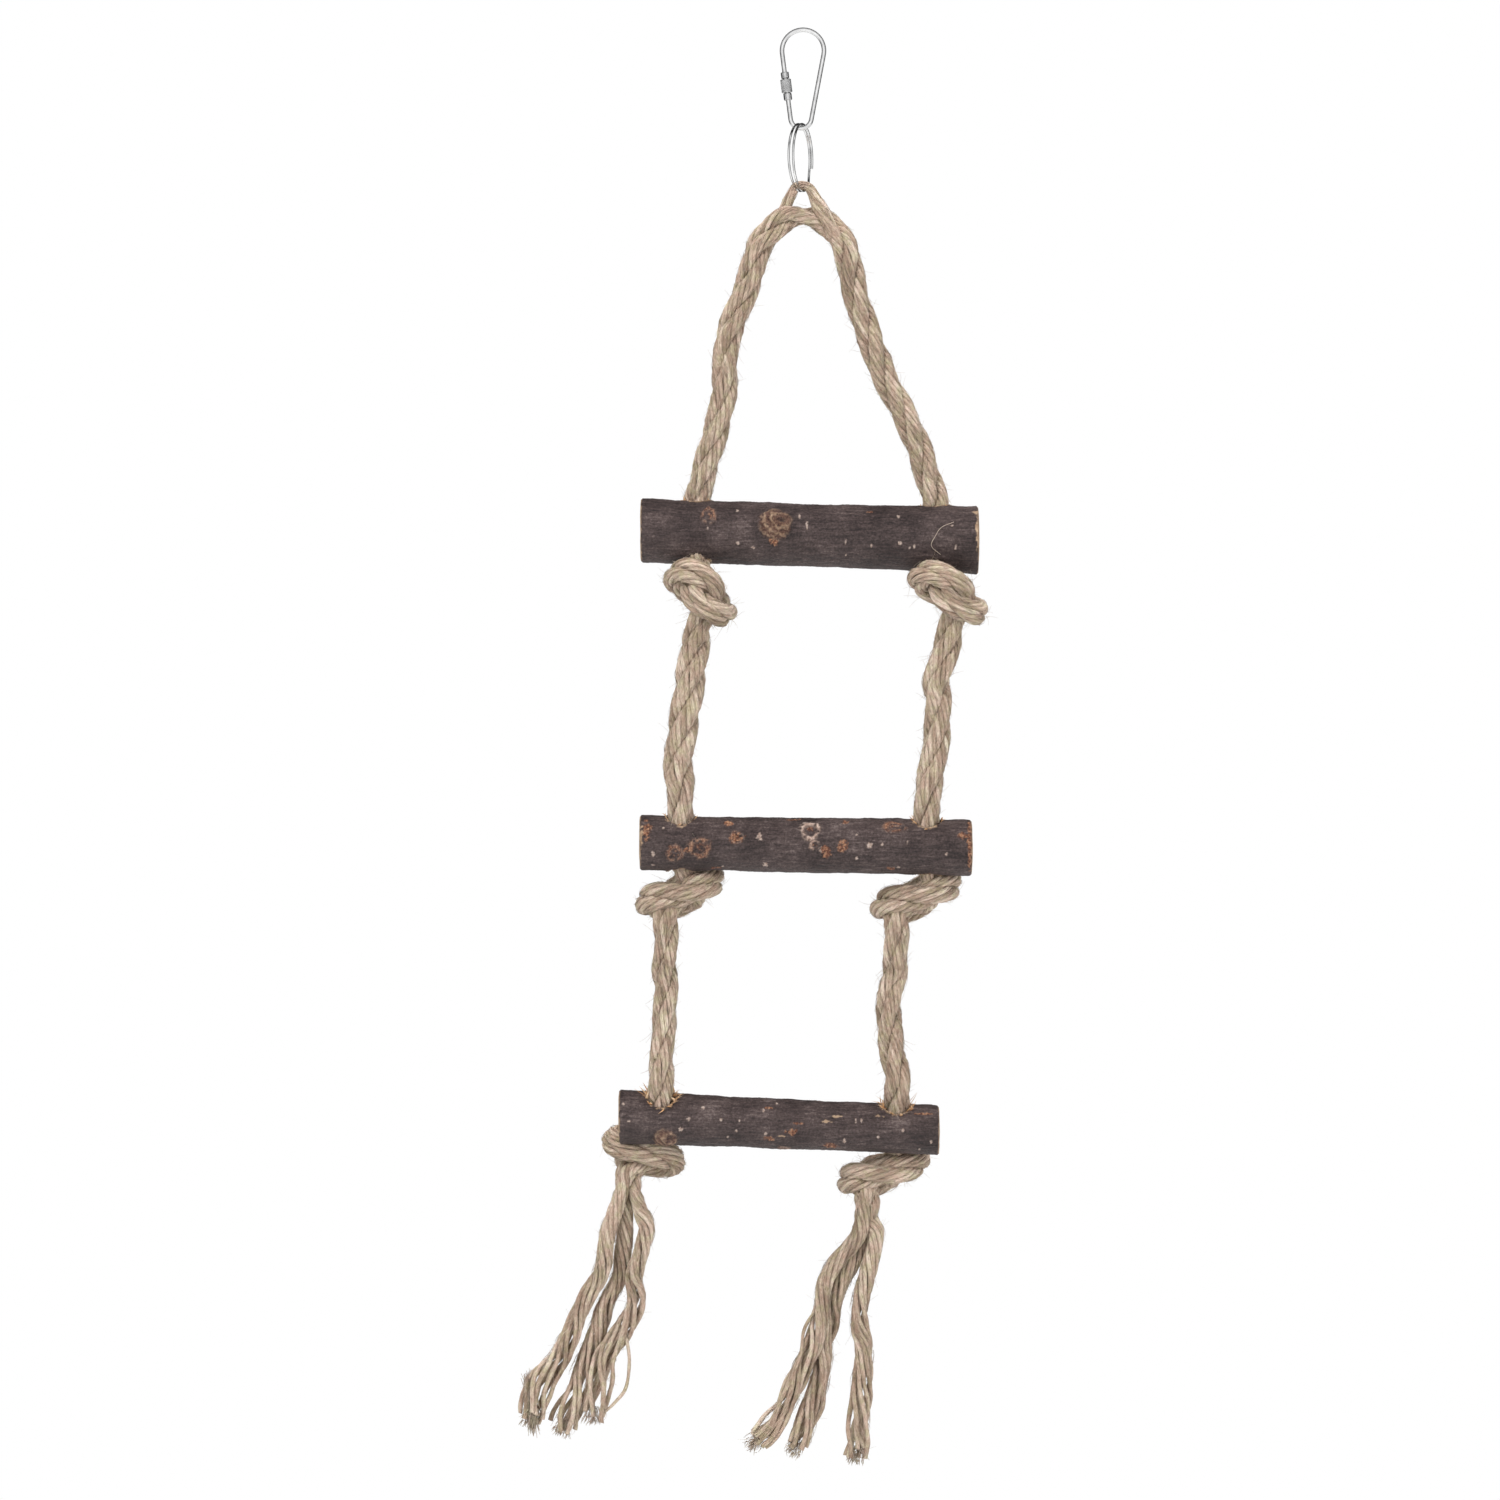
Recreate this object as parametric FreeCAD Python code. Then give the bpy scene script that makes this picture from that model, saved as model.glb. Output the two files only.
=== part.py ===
"""Hanging rope ladder with three branch rungs, a split ring and a screw-lock carabiner.

Millimetres. X runs to the right, Y away from the front, Z up.
The origin is the inside of the carabiner's top bend, where a hook bears.
Every solid is written to parts/ under its node name.
"""
import FreeCAD, Part
import math
import os

V = FreeCAD.Vector
UP = V(0, 0, 1)

# rope
ROPE_R = 5.1
STRAND_R = 2.4
BEND = 14.0

# carabiner
WIRE_R = 0.9
TOP_BEND_R = 8.4
LOW_BEND_R = 4.2
TOP_BEND = V(0, 0, -7.5)
LOW_BEND = V(-0.8, 0, -34.3)
NUT_R = 2.15
NUT_BORE_R = 1.75
NUT_LONG = 5.3
FERRULE_R = 1.6

# split ring: half the distance between its two turns at the back and at the front,
# how far it is rolled round its own axis, and how far its plane is turned from the YZ plane
RING_R = 13.3
RING_WIRE_R = 0.46
RING_SPREAD = (0.49, 0.92)
RING_ROLL = -105.0
RING_CENTRE = V(-0.8, 0, -50.2)
RING_TURN = 18.0

# knots: one turn of rope in them
TURN_R = 7.2
TURN_ROPE_R = 4.8

# rungs: left end, right end, radii at the left, middle and right, and how far the holes lean forward at the top
TOP_RUNG = dict(left=V(-64.8, 0, -199.4), right=V(70.0, 0, -203.2), radii=(13.0, 12.6, 13.6), lean=-10.0)
MIDDLE_RUNG = dict(left=V(-65.2, 0, -324.2), right=V(67.4, 0, -326.2), radii=(11.0, 10.8, 11.3), lean=15.0)
BOTTOM_RUNG = dict(left=V(-73.6, 3, -434.1), right=V(54.4, 3, -439.6), radii=(10.9, 9.9, 10.2), lean=28.0)
HOLE_R = 5.5
TOP_HOLES = (-42.4, 52.8)

# where the ropes bend: (left x, right x), y and z of each pair of bending points,
# and how far from its bending point each rounded end is centred
FOLD_1 = dict(x=(-43.0, 57.8), y=-4.0, z=-243.75)
RACK_1 = dict(x=(-45.4, 53.1), y=-4.0, z=-260.75)
HOLD_2 = dict(x=(-48.9, 49.6), y=-5.45, z=-304.6)
FOLD_2 = dict(x=(-54.9, 37.4), y=4.5, z=-361.4)
RACK_2 = dict(x=(-55.4, 37.0), y=4.5, z=-376.4)
HOLD_3 = dict(x=(-56.8, 37.6), y=-6.2, z=-418.0)
RACK_REACH = 5.35
LEAN_REACH = 5.75
OPEN_GAP = 0.6


def path(points, bend=BEND):
    """Straight runs through the points, joined by tangent arcs."""
    edges = []
    start = points[0]
    for before, corner, after in zip(points, points[1:], points[2:]):
        into = (corner - before).normalize()
        out = (after - corner).normalize()
        turn = into.getAngle(out)
        if turn < 0.002:
            continue
        cut = bend * math.tan(turn / 2)
        first = corner - into * cut
        last = corner + out * cut
        inward = (out - into).normalize()
        middle = corner + inward * (bend / math.cos(turn / 2) - bend)
        edges.append(Part.makeLine(start, first))
        edges.append(Part.Arc(first, middle, last).toShape())
        start = last
    edges.append(Part.makeLine(start, points[-1]))
    return Part.Wire(edges)


def sweep(wire, radius):
    """A round bar along a wire."""
    start = wire.OrderedEdges[0]
    tangent = start.tangentAt(start.FirstParameter)
    origin = start.valueAt(start.FirstParameter)
    ring = Part.Wire(Part.makeCircle(radius, origin, tangent))
    return wire.makePipeShell([ring], True, False)


def rope(points, radius=ROPE_R, round_start=False, round_end=False, bend=BEND):
    """A length of rope through the points; a rounded end bulges past its point by the radius."""
    solid = sweep(path(points, bend), radius)
    if round_start:
        back = points[0] - points[1]
        solid = solid.fuse(Part.makeSphere(radius, points[0], back, 0, 90, 360))
    if round_end:
        ahead = points[-1] - points[-2]
        solid = solid.fuse(Part.makeSphere(radius, points[-1], ahead, 0, 90, 360))
    return solid.removeSplitter()


def toward(start, target, distance):
    """The point at a distance from start on the way to target."""
    return start + (target - start).normalize() * distance


def place(spot, side):
    """The left (0) or right (1) bending point of a pair."""
    return V(spot["x"][side], spot["y"], spot["z"])


def hole_up(rung):
    """Unit vector up the drilled holes of a rung."""
    lean = math.radians(rung["lean"])
    return V(0, -math.sin(lean), math.cos(lean))


def rung_centre(rung, x):
    """The rung's centreline at x."""
    left, right = rung["left"], rung["right"]
    return left + (right - left) * ((x - left.x) / (right.x - left.x))


def rung_radius(rung, x):
    """The rung's radius at x: a curve through its three radii."""
    span = rung["right"].x - rung["left"].x
    u = 2 * (x - rung["left"].x) / span - 1
    first, middle, last = rung["radii"]
    return middle + (last - first) / 2 * u + ((first + last) / 2 - middle) * u * u


def wooden_rung(rung, holes, stubs=()):
    """A tapered branch with broken edges, drilled through the given points; stubs are (x, angle, radius, height)."""
    left, right = rung["left"].x, rung["right"].x
    along = (rung["right"] - rung["left"]).normalize()
    inner = [left + 1.2 + (right - left - 2.4) * i / 6 for i in range(7)]
    sections = []
    for x in [left] + inner + [right]:
        less = 1.3 if x in (left, right) else 0.0
        circle = Part.makeCircle(rung_radius(rung, x) - less, rung_centre(rung, x), along)
        sections.append(Part.Wire(circle))
    solid = Part.makeLoft(sections, True, True)
    for x, angle, radius, height in stubs:
        out = V(0, -math.cos(math.radians(angle)), math.sin(math.radians(angle)))
        base = rung_centre(rung, x) + out * (rung_radius(rung, x) - 3)
        solid = solid.fuse(Part.makeCone(radius + 1.5, radius, 3 + height, base, out))
    up = hole_up(rung)
    for point in holes:
        solid = solid.cut(Part.makeCylinder(HOLE_R, 100, point - up * 50, up))
    return solid


def torus_turn(centre, normal, big_radius):
    """One closed turn of rope."""
    return Part.makeTorus(big_radius, TURN_ROPE_R, centre, normal)


def overhand_knot(centre, half_width, half_height, lean):
    """A tightened overhand knot: two leaning turns side by side, held by a smaller turn across them."""
    angle = math.radians(lean)
    normal = V(math.sin(angle), 0, math.cos(angle))
    across = V(-math.sin(angle + 0.9), 0.25, math.cos(angle + 0.9))
    dx = half_width - TURN_R * abs(math.cos(angle)) - TURN_ROPE_R
    dz = half_height - TURN_R * abs(math.sin(angle)) - TURN_ROPE_R
    side = 1 if lean > 0 else -1
    turns = [
        torus_turn(centre + V(-dx, 1.0, side * dz), normal, TURN_R),
        torus_turn(centre + V(dx, -1.0, -side * dz), normal, TURN_R),
        torus_turn(centre, across, half_height - TURN_ROPE_R - 0.4),
    ]
    body = Part.makeSphere(min(half_height - 1.0, TURN_R + 2), centre)
    return body.multiFuse(turns)


def seat(knot, rung, ropes):
    """The knot pressed against its rung and hollowed where the ropes run in."""
    along = (rung["right"] - rung["left"]).normalize()
    start = rung["left"] - along * 20
    middle = knot.BoundBox.Center.x
    knot = knot.cut(Part.makeCylinder(rung_radius(rung, middle) + 0.35, 180, start, along))
    for hollow in ropes:
        knot = knot.cut(hollow)
    return max(knot.Solids, key=lambda s: s.Volume)


def carabiner_tangents():
    """Points where the straight legs meet the two bends: top left, low left, top right, low right."""
    apart = TOP_BEND - LOW_BEND
    base = math.atan2(apart.x, apart.z)
    slope = math.asin((TOP_BEND_R - LOW_BEND_R) / apart.Length)
    points = []
    for side in (-1, 1):
        angle = base + side * (math.pi / 2 + slope)
        out = V(math.sin(angle), 0, math.cos(angle))
        points += [TOP_BEND + out * TOP_BEND_R, LOW_BEND + out * LOW_BEND_R]
    return points


def leg_point(z):
    """The point of the left leg's centreline at height z, and the unit vector up the leg."""
    top, low, _, _ = carabiner_tangents()
    up = (top - low).normalize()
    return low + up * ((z - low.z) / up.z), up


def carabiner_wire():
    """The bent wire, open inside the nut."""
    top, low, right_top, right_low = carabiner_tangents()
    upper_end, _ = leg_point(-20.4)
    lower_end, _ = leg_point(-22.2)
    edges = [
        Part.makeLine(upper_end, top),
        Part.Arc(top, TOP_BEND + V(0, 0, TOP_BEND_R), right_top).toShape(),
        Part.makeLine(right_top, right_low),
        Part.Arc(right_low, LOW_BEND - V(0, 0, LOW_BEND_R), low).toShape(),
        Part.makeLine(low, lower_end),
    ]
    return sweep(Part.Wire(edges), WIRE_R)


def sleeve(low_z, high_z, radius, bore, edge):
    """A collar round the left leg with broken edges."""
    base, up = leg_point(low_z)
    top, _ = leg_point(high_z)
    length = (top - base).Length
    body = Part.makeCylinder(radius, length, base, up)
    body = body.makeChamfer(edge, [e for e in body.Edges if e.Closed])
    return body.cut(Part.makeCylinder(bore, length + 2, base - up, up))


def lock_nut():
    """The knurled sleeve, fluted along its length."""
    nut = sleeve(-24.2, -24.2 + NUT_LONG, NUT_R, NUT_BORE_R, 0.25)
    base, up = leg_point(-24.2)
    side = up.cross(V(0, 1, 0))
    flute = Part.makeCylinder(0.16, NUT_LONG + 2, base - up + side * (NUT_R + 0.04), up)
    flutes = []
    for i in range(16):
        cutter = flute.copy()
        cutter.rotate(base, up, 360 / 16 * i)
        flutes.append(cutter)
    return nut.cut(flutes)


def split_ring():
    """Two turns of wire, sprung a little apart at the front, with a short jog that joins them."""
    jog = math.radians(50)
    front = math.radians(90 - RING_ROLL)
    closed, sprung = RING_SPREAD

    def on_turn(angle, way):
        half = (closed + sprung) / 2 + (sprung - closed) / 2 * math.cos(angle - front)
        return V(RING_R * math.cos(angle), RING_R * math.sin(angle), way * half)

    last = 2 * math.pi - jog
    first_turn = Part.Arc(on_turn(0, 1), on_turn(2.6, 1), on_turn(last, 1))
    second_turn = Part.Arc(on_turn(0, -1), on_turn(2.6, -1), on_turn(last - 0.03, -1))
    leave = first_turn.tangent(first_turn.LastParameter)[0]
    arrive = second_turn.tangent(second_turn.FirstParameter)[0]
    crossing = Part.BSplineCurve()
    crossing.interpolate(
        Points=[on_turn(-jog, 1), on_turn(-jog / 2, 0), on_turn(0, -1)],
        Tangents=[leave, (leave + arrive).normalize() - V(0, 0, 0.17), arrive],
        TangentFlags=[True, True, True],
    )
    ring = sweep(Part.Wire([first_turn.toShape(), crossing.toShape(), second_turn.toShape()]), RING_WIRE_R)
    ring.rotate(V(), UP, 180 + RING_ROLL)
    ring.rotate(V(), V(0, 1, 0), 90)
    ring.rotate(V(), UP, -RING_TURN)
    ring.translate(RING_CENTRE)
    return ring


def lifted_strand():
    """The strand pulled up out of the rope's crown and passed through the ring."""
    pivot = V(-0.8, 0, -64.6)
    lift = 4.75
    left = pivot + V(-lift * math.sin(1.0), 0, lift * math.cos(1.0))
    right = pivot + V(lift * math.sin(1.0), 0, lift * math.cos(1.0))
    slope = V(math.cos(1.0), 0, -math.sin(1.0))
    foot = 8.2
    edges = [
        Part.makeLine(left + V(-slope.x, 0, slope.z) * foot, left),
        Part.Arc(left, pivot + V(0, 0, lift), right).toShape(),
        Part.makeLine(right, right + slope * foot),
    ]
    return sweep(Part.Wire(edges), STRAND_R)


def crown():
    """The two strands that carry on over the fold under the lifted one."""
    points = [V(-16.6, 0, -84.0), V(-14.2, 0, -77.6), V(-1.0, 0, -73.4), V(12.8, 0, -76.8), V(16.0, 0, -83.2)]
    return rope(points, 3.4, bend=7.5)


def leg(side):
    """One leg of the fold, from the crown through the top rung into its knot."""
    rung = TOP_RUNG
    up = hole_up(rung)
    middle = rung_centre(rung, TOP_HOLES[side])
    above = middle + up * 19
    below = middle - up * 17.5
    left_run = [V(-16.8, 0, -84.4), V(-19.4, 0, -92), V(-27.6, 1, -116), V(-32.0, 2, -147)]
    right_run = [V(16.6, 0, -84.4), V(19.0, 0, -97), V(29.0, 1, -129), V(46.0, 2, -165)]
    points = (left_run, right_run)[side] + [above, below]
    return rope(points, bend=12.0)


def neck(side, fold, rack):
    """The rope just under a knot: it swings under the knot and carries the span."""
    start, end = place(fold, side), place(rack, side)
    return rope([start, toward(end, start, RACK_REACH)], round_start=True, round_end=True)


def span(side, rack, hold, middle_x, reach):
    """The rope between two levels; the right one keeps a wider gap at its foot."""
    start, end = place(rack, side), place(hold, side)
    middle = V(middle_x, (start.y + end.y) / 2, (start.z + end.z) / 2)
    points = [toward(start, middle, RACK_REACH), middle, toward(end, middle, reach + side * OPEN_GAP)]
    return rope(points, round_start=True, round_end=True, bend=60.0)


def stub(side, rung, hold, depth, reach):
    """The straight rope through a rung, which the rung slides on."""
    up = hole_up(rung)
    end = place(hold, side)
    start = end - up * reach
    centre = rung_centre(rung, end.x)
    down = (start - centre).dot(up) + depth
    return rope([start - up * down, start], round_end=True)


def sheath(points, extra=0.1):
    """A slightly larger rope, to hollow a knot where the rope runs into it."""
    return sweep(path(points), ROPE_R + extra)


def knot_on_stub(side, rung, hold, depth, centre, half_width, half_height, lean):
    """A knot under a rung with the stub's end let into it."""
    up = hole_up(rung)
    end = place(hold, side)
    middle = rung_centre(rung, end.x)
    foot = end - up * ((end - middle).dot(up) + depth)
    knot = overhand_knot(centre, half_width, half_height, lean)
    return seat(knot, rung, [sheath([foot - up * 0.1, foot + up * 30])])


def top_knot(side):
    """A knot under the top rung."""
    centre = (V(-42.0, -4, -224.2), V(57.2, -4, -224.0))[side]
    size = ((14.8, 14.0), (15.8, 13.2))[side]
    up = hole_up(TOP_RUNG)
    foot = rung_centre(TOP_RUNG, TOP_HOLES[side]) - up * 17.6
    knot = overhand_knot(centre, size[0], size[1], 40)
    return seat(knot, TOP_RUNG, [sheath([foot, foot + up * 30])])


def tassel_neck(top, low):
    """The rope that hangs below a bottom knot and starts the tassel."""
    return rope([top, toward(low, top, RACK_REACH)], round_start=True, round_end=True)


def tassel_strand(root, number, run, radius=STRAND_R):
    """One unlaid strand: it starts beside its neighbours and follows its own run."""
    angle = math.radians(120 * number + 30)
    offset = V(2.95 * math.cos(angle), 2.95 * math.sin(angle), 0)
    return rope([root + offset - UP * 1.0, root + offset - UP * 5.0] + run, radius, bend=8.0)


def left_tassel(root):
    """Three strands that splay to the left; the last lies furthest out."""
    y = root.y
    runs = [
        [V(-72.6, y + 1, -508), V(-82.5, y, -530), V(-88.5, y - 1, -558)],
        [V(-78.4, y + 2, -508), V(-88.0, y + 3, -530), V(-96.0, y + 2, -562)],
        [V(-77.0, y - 4, -506), V(-94.0, y - 5, -532), V(-113.5, y - 6, -552)],
    ]
    return [tassel_strand(root, n, run) for n, run in enumerate(runs)]


def right_tassel(root):
    """Two strands that fall to the left and one that falls straight."""
    y = root.y
    runs = [
        [V(28.6, y, -494), V(22.4, y + 1, -513), V(23.4, y, -536), V(21.8, y, -572)],
        [V(13.4, y + 2, -500), V(5.2, y + 2, -522), V(-0.8, y + 2, -542), V(-10.6, y + 1, -566)],
        [V(18.4, y - 3, -500), V(10.0, y - 3, -522), V(4.4, y - 3, -542), V(-4.6, y - 3, -566)],
    ]
    return [tassel_strand(root, n, run) for n, run in enumerate(runs)]


def metal_nodes():
    """The carabiner and the ring."""
    return {
        "carabiner_wire": carabiner_wire(),
        "carabiner_upper_ferrule": sleeve(-18.6, -16.1, FERRULE_R, WIRE_R + 0.02, 0.2),
        "carabiner_lower_ferrule": sleeve(-27.3, -24.5, FERRULE_R + 0.05, WIRE_R + 0.02, 0.2),
        "lock_nut": lock_nut(),
        "split_ring": split_ring(),
    }


def rung_nodes():
    """The three branches."""
    top_holes = [rung_centre(TOP_RUNG, x) for x in TOP_HOLES]
    middle_holes = [place(HOLD_2, side) for side in (0, 1)]
    bottom_holes = [place(HOLD_3, side) for side in (0, 1)]
    return {
        "rung_top": wooden_rung(TOP_RUNG, top_holes, [(-11.2, 12, 4.2, 1.2)]),
        "rung_middle": wooden_rung(MIDDLE_RUNG, middle_holes, [(-22.0, -35, 3.0, 0.8)]),
        "rung_bottom": wooden_rung(BOTTOM_RUNG, bottom_holes, [(-52.0, -62, 4.0, 1.4)]),
    }


def rope_top_nodes():
    """The folded middle of the rope, down to the first knots."""
    return {
        "lifted_strand": lifted_strand(),
        "rope_crown": crown(),
        "left_leg": leg(0),
        "right_leg": leg(1),
        "knot_top_left": top_knot(0),
        "knot_top_right": top_knot(1),
    }


def lower_nodes():
    """The ropes and knots of the middle and bottom levels."""
    sides = ("left", "right")
    middle_x = ((-49.4, 52.8), (-55.6, 35.2))
    knots_2 = ((V(-50.4, 4.5, -345.0), 17.2, 9.8), (V(44.0, 4.5, -346.6), 16.8, 9.4))
    knots_3 = ((V(-62.6, 10, -448.9), 17.6, 9.7), (V(29.7, 10, -457.4), 17.3, 8.6))
    nodes = {}
    for side, name in enumerate(sides):
        nodes["neck_upper_" + name] = neck(side, FOLD_1, RACK_1)
        nodes["span_upper_" + name] = span(side, RACK_1, HOLD_2, middle_x[0][side], RACK_REACH)
        nodes["stub_middle_" + name] = stub(side, MIDDLE_RUNG, HOLD_2, 14.0, RACK_REACH)
        centre, wide, high = knots_2[side]
        nodes["knot_middle_" + name] = knot_on_stub(side, MIDDLE_RUNG, HOLD_2, 14.0, centre, wide, high, 15)
        nodes["neck_lower_" + name] = neck(side, FOLD_2, RACK_2)
        nodes["span_lower_" + name] = span(side, RACK_2, HOLD_3, middle_x[1][side], LEAN_REACH)
        nodes["stub_bottom_" + name] = stub(side, BOTTOM_RUNG, HOLD_3, 13.0, LEAN_REACH)
        centre, wide, high = knots_3[side]
        nodes["knot_bottom_" + name] = knot_on_stub(side, BOTTOM_RUNG, HOLD_3, 13.0, centre, wide, high, 15)
    return nodes


def tassel_nodes():
    """The two unlaid rope ends."""
    left_top, left_low = V(-70.6, 10, -464.0), V(-71.4, 10, -478.0)
    right_top, right_low = V(25.6, 10, -471.4), V(24.6, 10, -483.0)
    nodes = {
        "tassel_neck_left": tassel_neck(left_top, left_low),
        "tassel_neck_right": tassel_neck(right_top, right_low),
    }
    for number, strand in enumerate(left_tassel(left_low)):
        nodes["tassel_left_strand_%d" % (number + 1)] = strand
    for number, strand in enumerate(right_tassel(right_low)):
        nodes["tassel_right_strand_%d" % (number + 1)] = strand
    return nodes


def main():
    os.makedirs("parts", exist_ok=True)
    groups = [metal_nodes(), rung_nodes(), rope_top_nodes(), lower_nodes(), tassel_nodes()]
    for group in groups:
        for name, shape in group.items():
            shape.exportStep("parts/%s.step" % name)


main()
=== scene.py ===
"""Looks of the hanging rope ladder: jute rope, bark-covered rungs, steel carabiner and ring.

Shapes are worked out in millimetres in the part's own frame and scaled to metres when a mesh is made.
"""
import bpy
import math
import numpy as np
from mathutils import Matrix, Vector


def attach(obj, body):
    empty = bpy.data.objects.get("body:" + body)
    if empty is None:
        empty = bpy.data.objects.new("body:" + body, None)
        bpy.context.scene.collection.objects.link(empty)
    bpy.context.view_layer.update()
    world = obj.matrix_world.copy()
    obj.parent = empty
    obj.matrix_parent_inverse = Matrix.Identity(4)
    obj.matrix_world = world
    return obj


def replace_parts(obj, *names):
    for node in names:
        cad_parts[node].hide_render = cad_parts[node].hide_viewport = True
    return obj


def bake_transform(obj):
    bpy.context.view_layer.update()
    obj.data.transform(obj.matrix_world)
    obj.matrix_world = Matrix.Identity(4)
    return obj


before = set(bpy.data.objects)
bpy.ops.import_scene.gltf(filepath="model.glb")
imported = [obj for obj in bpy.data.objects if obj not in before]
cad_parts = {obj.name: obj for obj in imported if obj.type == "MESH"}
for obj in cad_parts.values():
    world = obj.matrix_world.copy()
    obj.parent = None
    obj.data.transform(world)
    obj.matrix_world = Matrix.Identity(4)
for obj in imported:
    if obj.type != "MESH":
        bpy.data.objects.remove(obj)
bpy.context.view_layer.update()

MM = 0.001
TURN = 2 * math.pi
SIDES = ("left", "right")
RIGHT = np.array([1.0, 0, 0])
BACK = np.array([0, 1.0, 0])

# rope: three strands of eight yarns round a core yarn
STRANDS = 3
YARNS = 8
YARN_R = 0.93
# from the rope's centre to a strand's, and from a strand's to a yarn's, laid in the rope and hanging free
STRAND_OFFSET = 2.8
LAID_R = 1.68
OPEN_R = 2.3
# rope length of one turn of the strands, and turn of the yarns per millimetre
LAY = 55.0
YARN_TURN = -0.19
RING_STEP = 0.8
YARN_SIDES = 7
# fine fibres per millimetre of strand
FUZZ = 2.4

# half the height of a free knot, and its depth against its width
KNOT_REACH = 15.0
KNOT_DEPTH = 0.78

# pivots of the frame, as (left x, right x), y, z
FOLD_1 = ((-43.0, 57.8), -4.0, -243.75)
RACK_1 = ((-45.4, 53.1), -4.0, -260.75)
HOLD_2 = ((-48.9, 49.6), -5.45, -304.6)
FOLD_2 = ((-54.9, 37.4), 4.5, -361.4)
RACK_2 = ((-55.4, 37.0), 4.5, -376.4)
HOLD_3 = ((-56.8, 37.6), -6.2, -418.0)
TASSEL_TOP = ((-70.6, 10.0, -464.0), (25.6, 10.0, -471.4))
TASSEL_LOW = ((-71.4, 10.0, -478.0), (24.6, 10.0, -483.0))

# how far the rope's meshes reach past the crown, a fold, a rack and a level pivot
CROWN_REACH = 14.8
FOLD_REACH = 5.2
RACK_REACH = 8.4
LEVEL_REACH = 6.4

# rungs: left end, right end, radii, lean of the holes, and a point on each hole's axis
RUNGS = {
    "rung_top": dict(
        body="top_rung", left=(-64.8, 0, -199.4), right=(70.0, 0, -203.2), radii=(13.0, 12.6, 13.6),
        lean=-10.0, holes=((-42.4, 0, -200.03), (52.8, 0, -202.71))),
    "rung_middle": dict(
        body="middle_rung", left=(-65.2, 0, -324.2), right=(67.4, 0, -326.2), radii=(11.0, 10.8, 11.3),
        lean=15.0, holes=((-48.9, -5.45, -304.6), (49.6, -5.45, -304.6))),
    "rung_bottom": dict(
        body="bottom_rung", left=(-73.6, 3, -434.1), right=(54.4, 3, -439.6), radii=(10.9, 9.9, 10.2),
        lean=28.0, holes=((-56.8, -6.2, -418.0), (37.6, -6.2, -418.0))),
}
DRILL_R = 5.7


# ---------------------------------------------------------------- arrays and curves


def unit(v):
    """Rows of v at length one."""
    return v / np.maximum(np.linalg.norm(v, axis=-1, keepdims=True), 1e-9)


def smoothstep(x):
    x = np.clip(x, 0, 1)
    return x * x * (3 - 2 * x)


def hump(x, centre, width):
    """A smooth hump of height one."""
    return np.exp(-(((x - centre) / width) ** 2))


def lattice(u, v, cells_u, cells_v, seed):
    """Smooth random heights from -1 to 1; u runs 0 to 1 and v, from 0 to 1, wraps round."""
    grid = np.random.default_rng(seed).uniform(-1, 1, (cells_u + 2, cells_v))
    a = np.clip(u, 0, 1) * cells_u
    b = (v % 1.0) * cells_v
    i, j = np.floor(a).astype(int), np.floor(b).astype(int) % cells_v
    s, t = smoothstep(a - np.floor(a)), smoothstep(b - np.floor(b))
    k = (j + 1) % cells_v
    near = grid[i, j] * (1 - t) + grid[i, k] * t
    far = grid[i + 1, j] * (1 - t) + grid[i + 1, k] * t
    return near * (1 - s) + far * s


def wander(s, scale, seed):
    """Smooth random numbers from -1 to 1 along a length."""
    a = np.abs(s) / scale
    knots = np.random.default_rng(seed).uniform(-1, 1, int(np.max(np.abs(s)) / scale) + 3)
    i = np.floor(a).astype(int)
    t = smoothstep(a - i)
    return knots[i] * (1 - t) + knots[i + 1] * t


def catmull(points, per=12):
    """A smooth curve through the points."""
    p = np.asarray(points, float)
    p = np.vstack([2 * p[0] - p[1], p, 2 * p[-1] - p[-2]])
    t = np.linspace(0, 1, per, endpoint=False)[:, None]
    runs = []
    for a, b, c, d in zip(p, p[1:], p[2:], p[3:]):
        square = 2 * a - 5 * b + 4 * c - d
        cube = 3 * b - a - 3 * c + d
        runs.append(0.5 * (2 * b + (c - a) * t + square * t**2 + cube * t**3))
    return np.vstack(runs + [p[-2:-1]])


def lengths_along(points):
    """Length of a curve from its start to each of its points."""
    return np.r_[0, np.cumsum(np.linalg.norm(np.diff(points, axis=0), axis=1))]


def at_lengths(s, points):
    """The points of a curve at the lengths s."""
    lengths = lengths_along(points)
    return np.stack([np.interp(s, lengths, points[:, k]) for k in range(3)], 1)


def resample(points, step):
    """The same curve with even steps."""
    total = lengths_along(points)[-1]
    return at_lengths(np.linspace(0, total, int(total / step) + 1), points)


def soften(points, width, rounds=2):
    """Rounds off corners; both ends stay where they are."""
    reach = int(width)
    kernel = np.hanning(2 * reach + 3)
    kernel /= kernel.sum()
    for _ in range(rounds):
        ahead = 2 * points[-1] - points[-2 - reach:-1][::-1]
        behind = 2 * points[0] - points[1:2 + reach][::-1]
        padded = np.vstack([behind, points, ahead])
        points = np.stack([np.convolve(padded[:, k], kernel, "valid") for k in range(3)], 1)
    return points


class Run:
    """A centre line with its tangent and two side vectors at each point."""

    def __init__(self, line, tangent, side, up):
        self.line, self.tangent, self.side, self.up = line, tangent, side, up

    def __getitem__(self, rows):
        return Run(self.line[rows], self.tangent[rows], self.side[rows], self.up[rows])

    def outward(self, angle, row):
        """The unit vector at an angle from side toward up, at one point."""
        return math.cos(angle) * self.side[row] + math.sin(angle) * self.up[row]

    def turned(self, angles):
        """Both side vectors of every point, turned by an angle of its own."""
        c, s = np.cos(angles)[:, None], np.sin(angles)[:, None]
        return c * self.side + s * self.up, c * self.up - s * self.side


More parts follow.
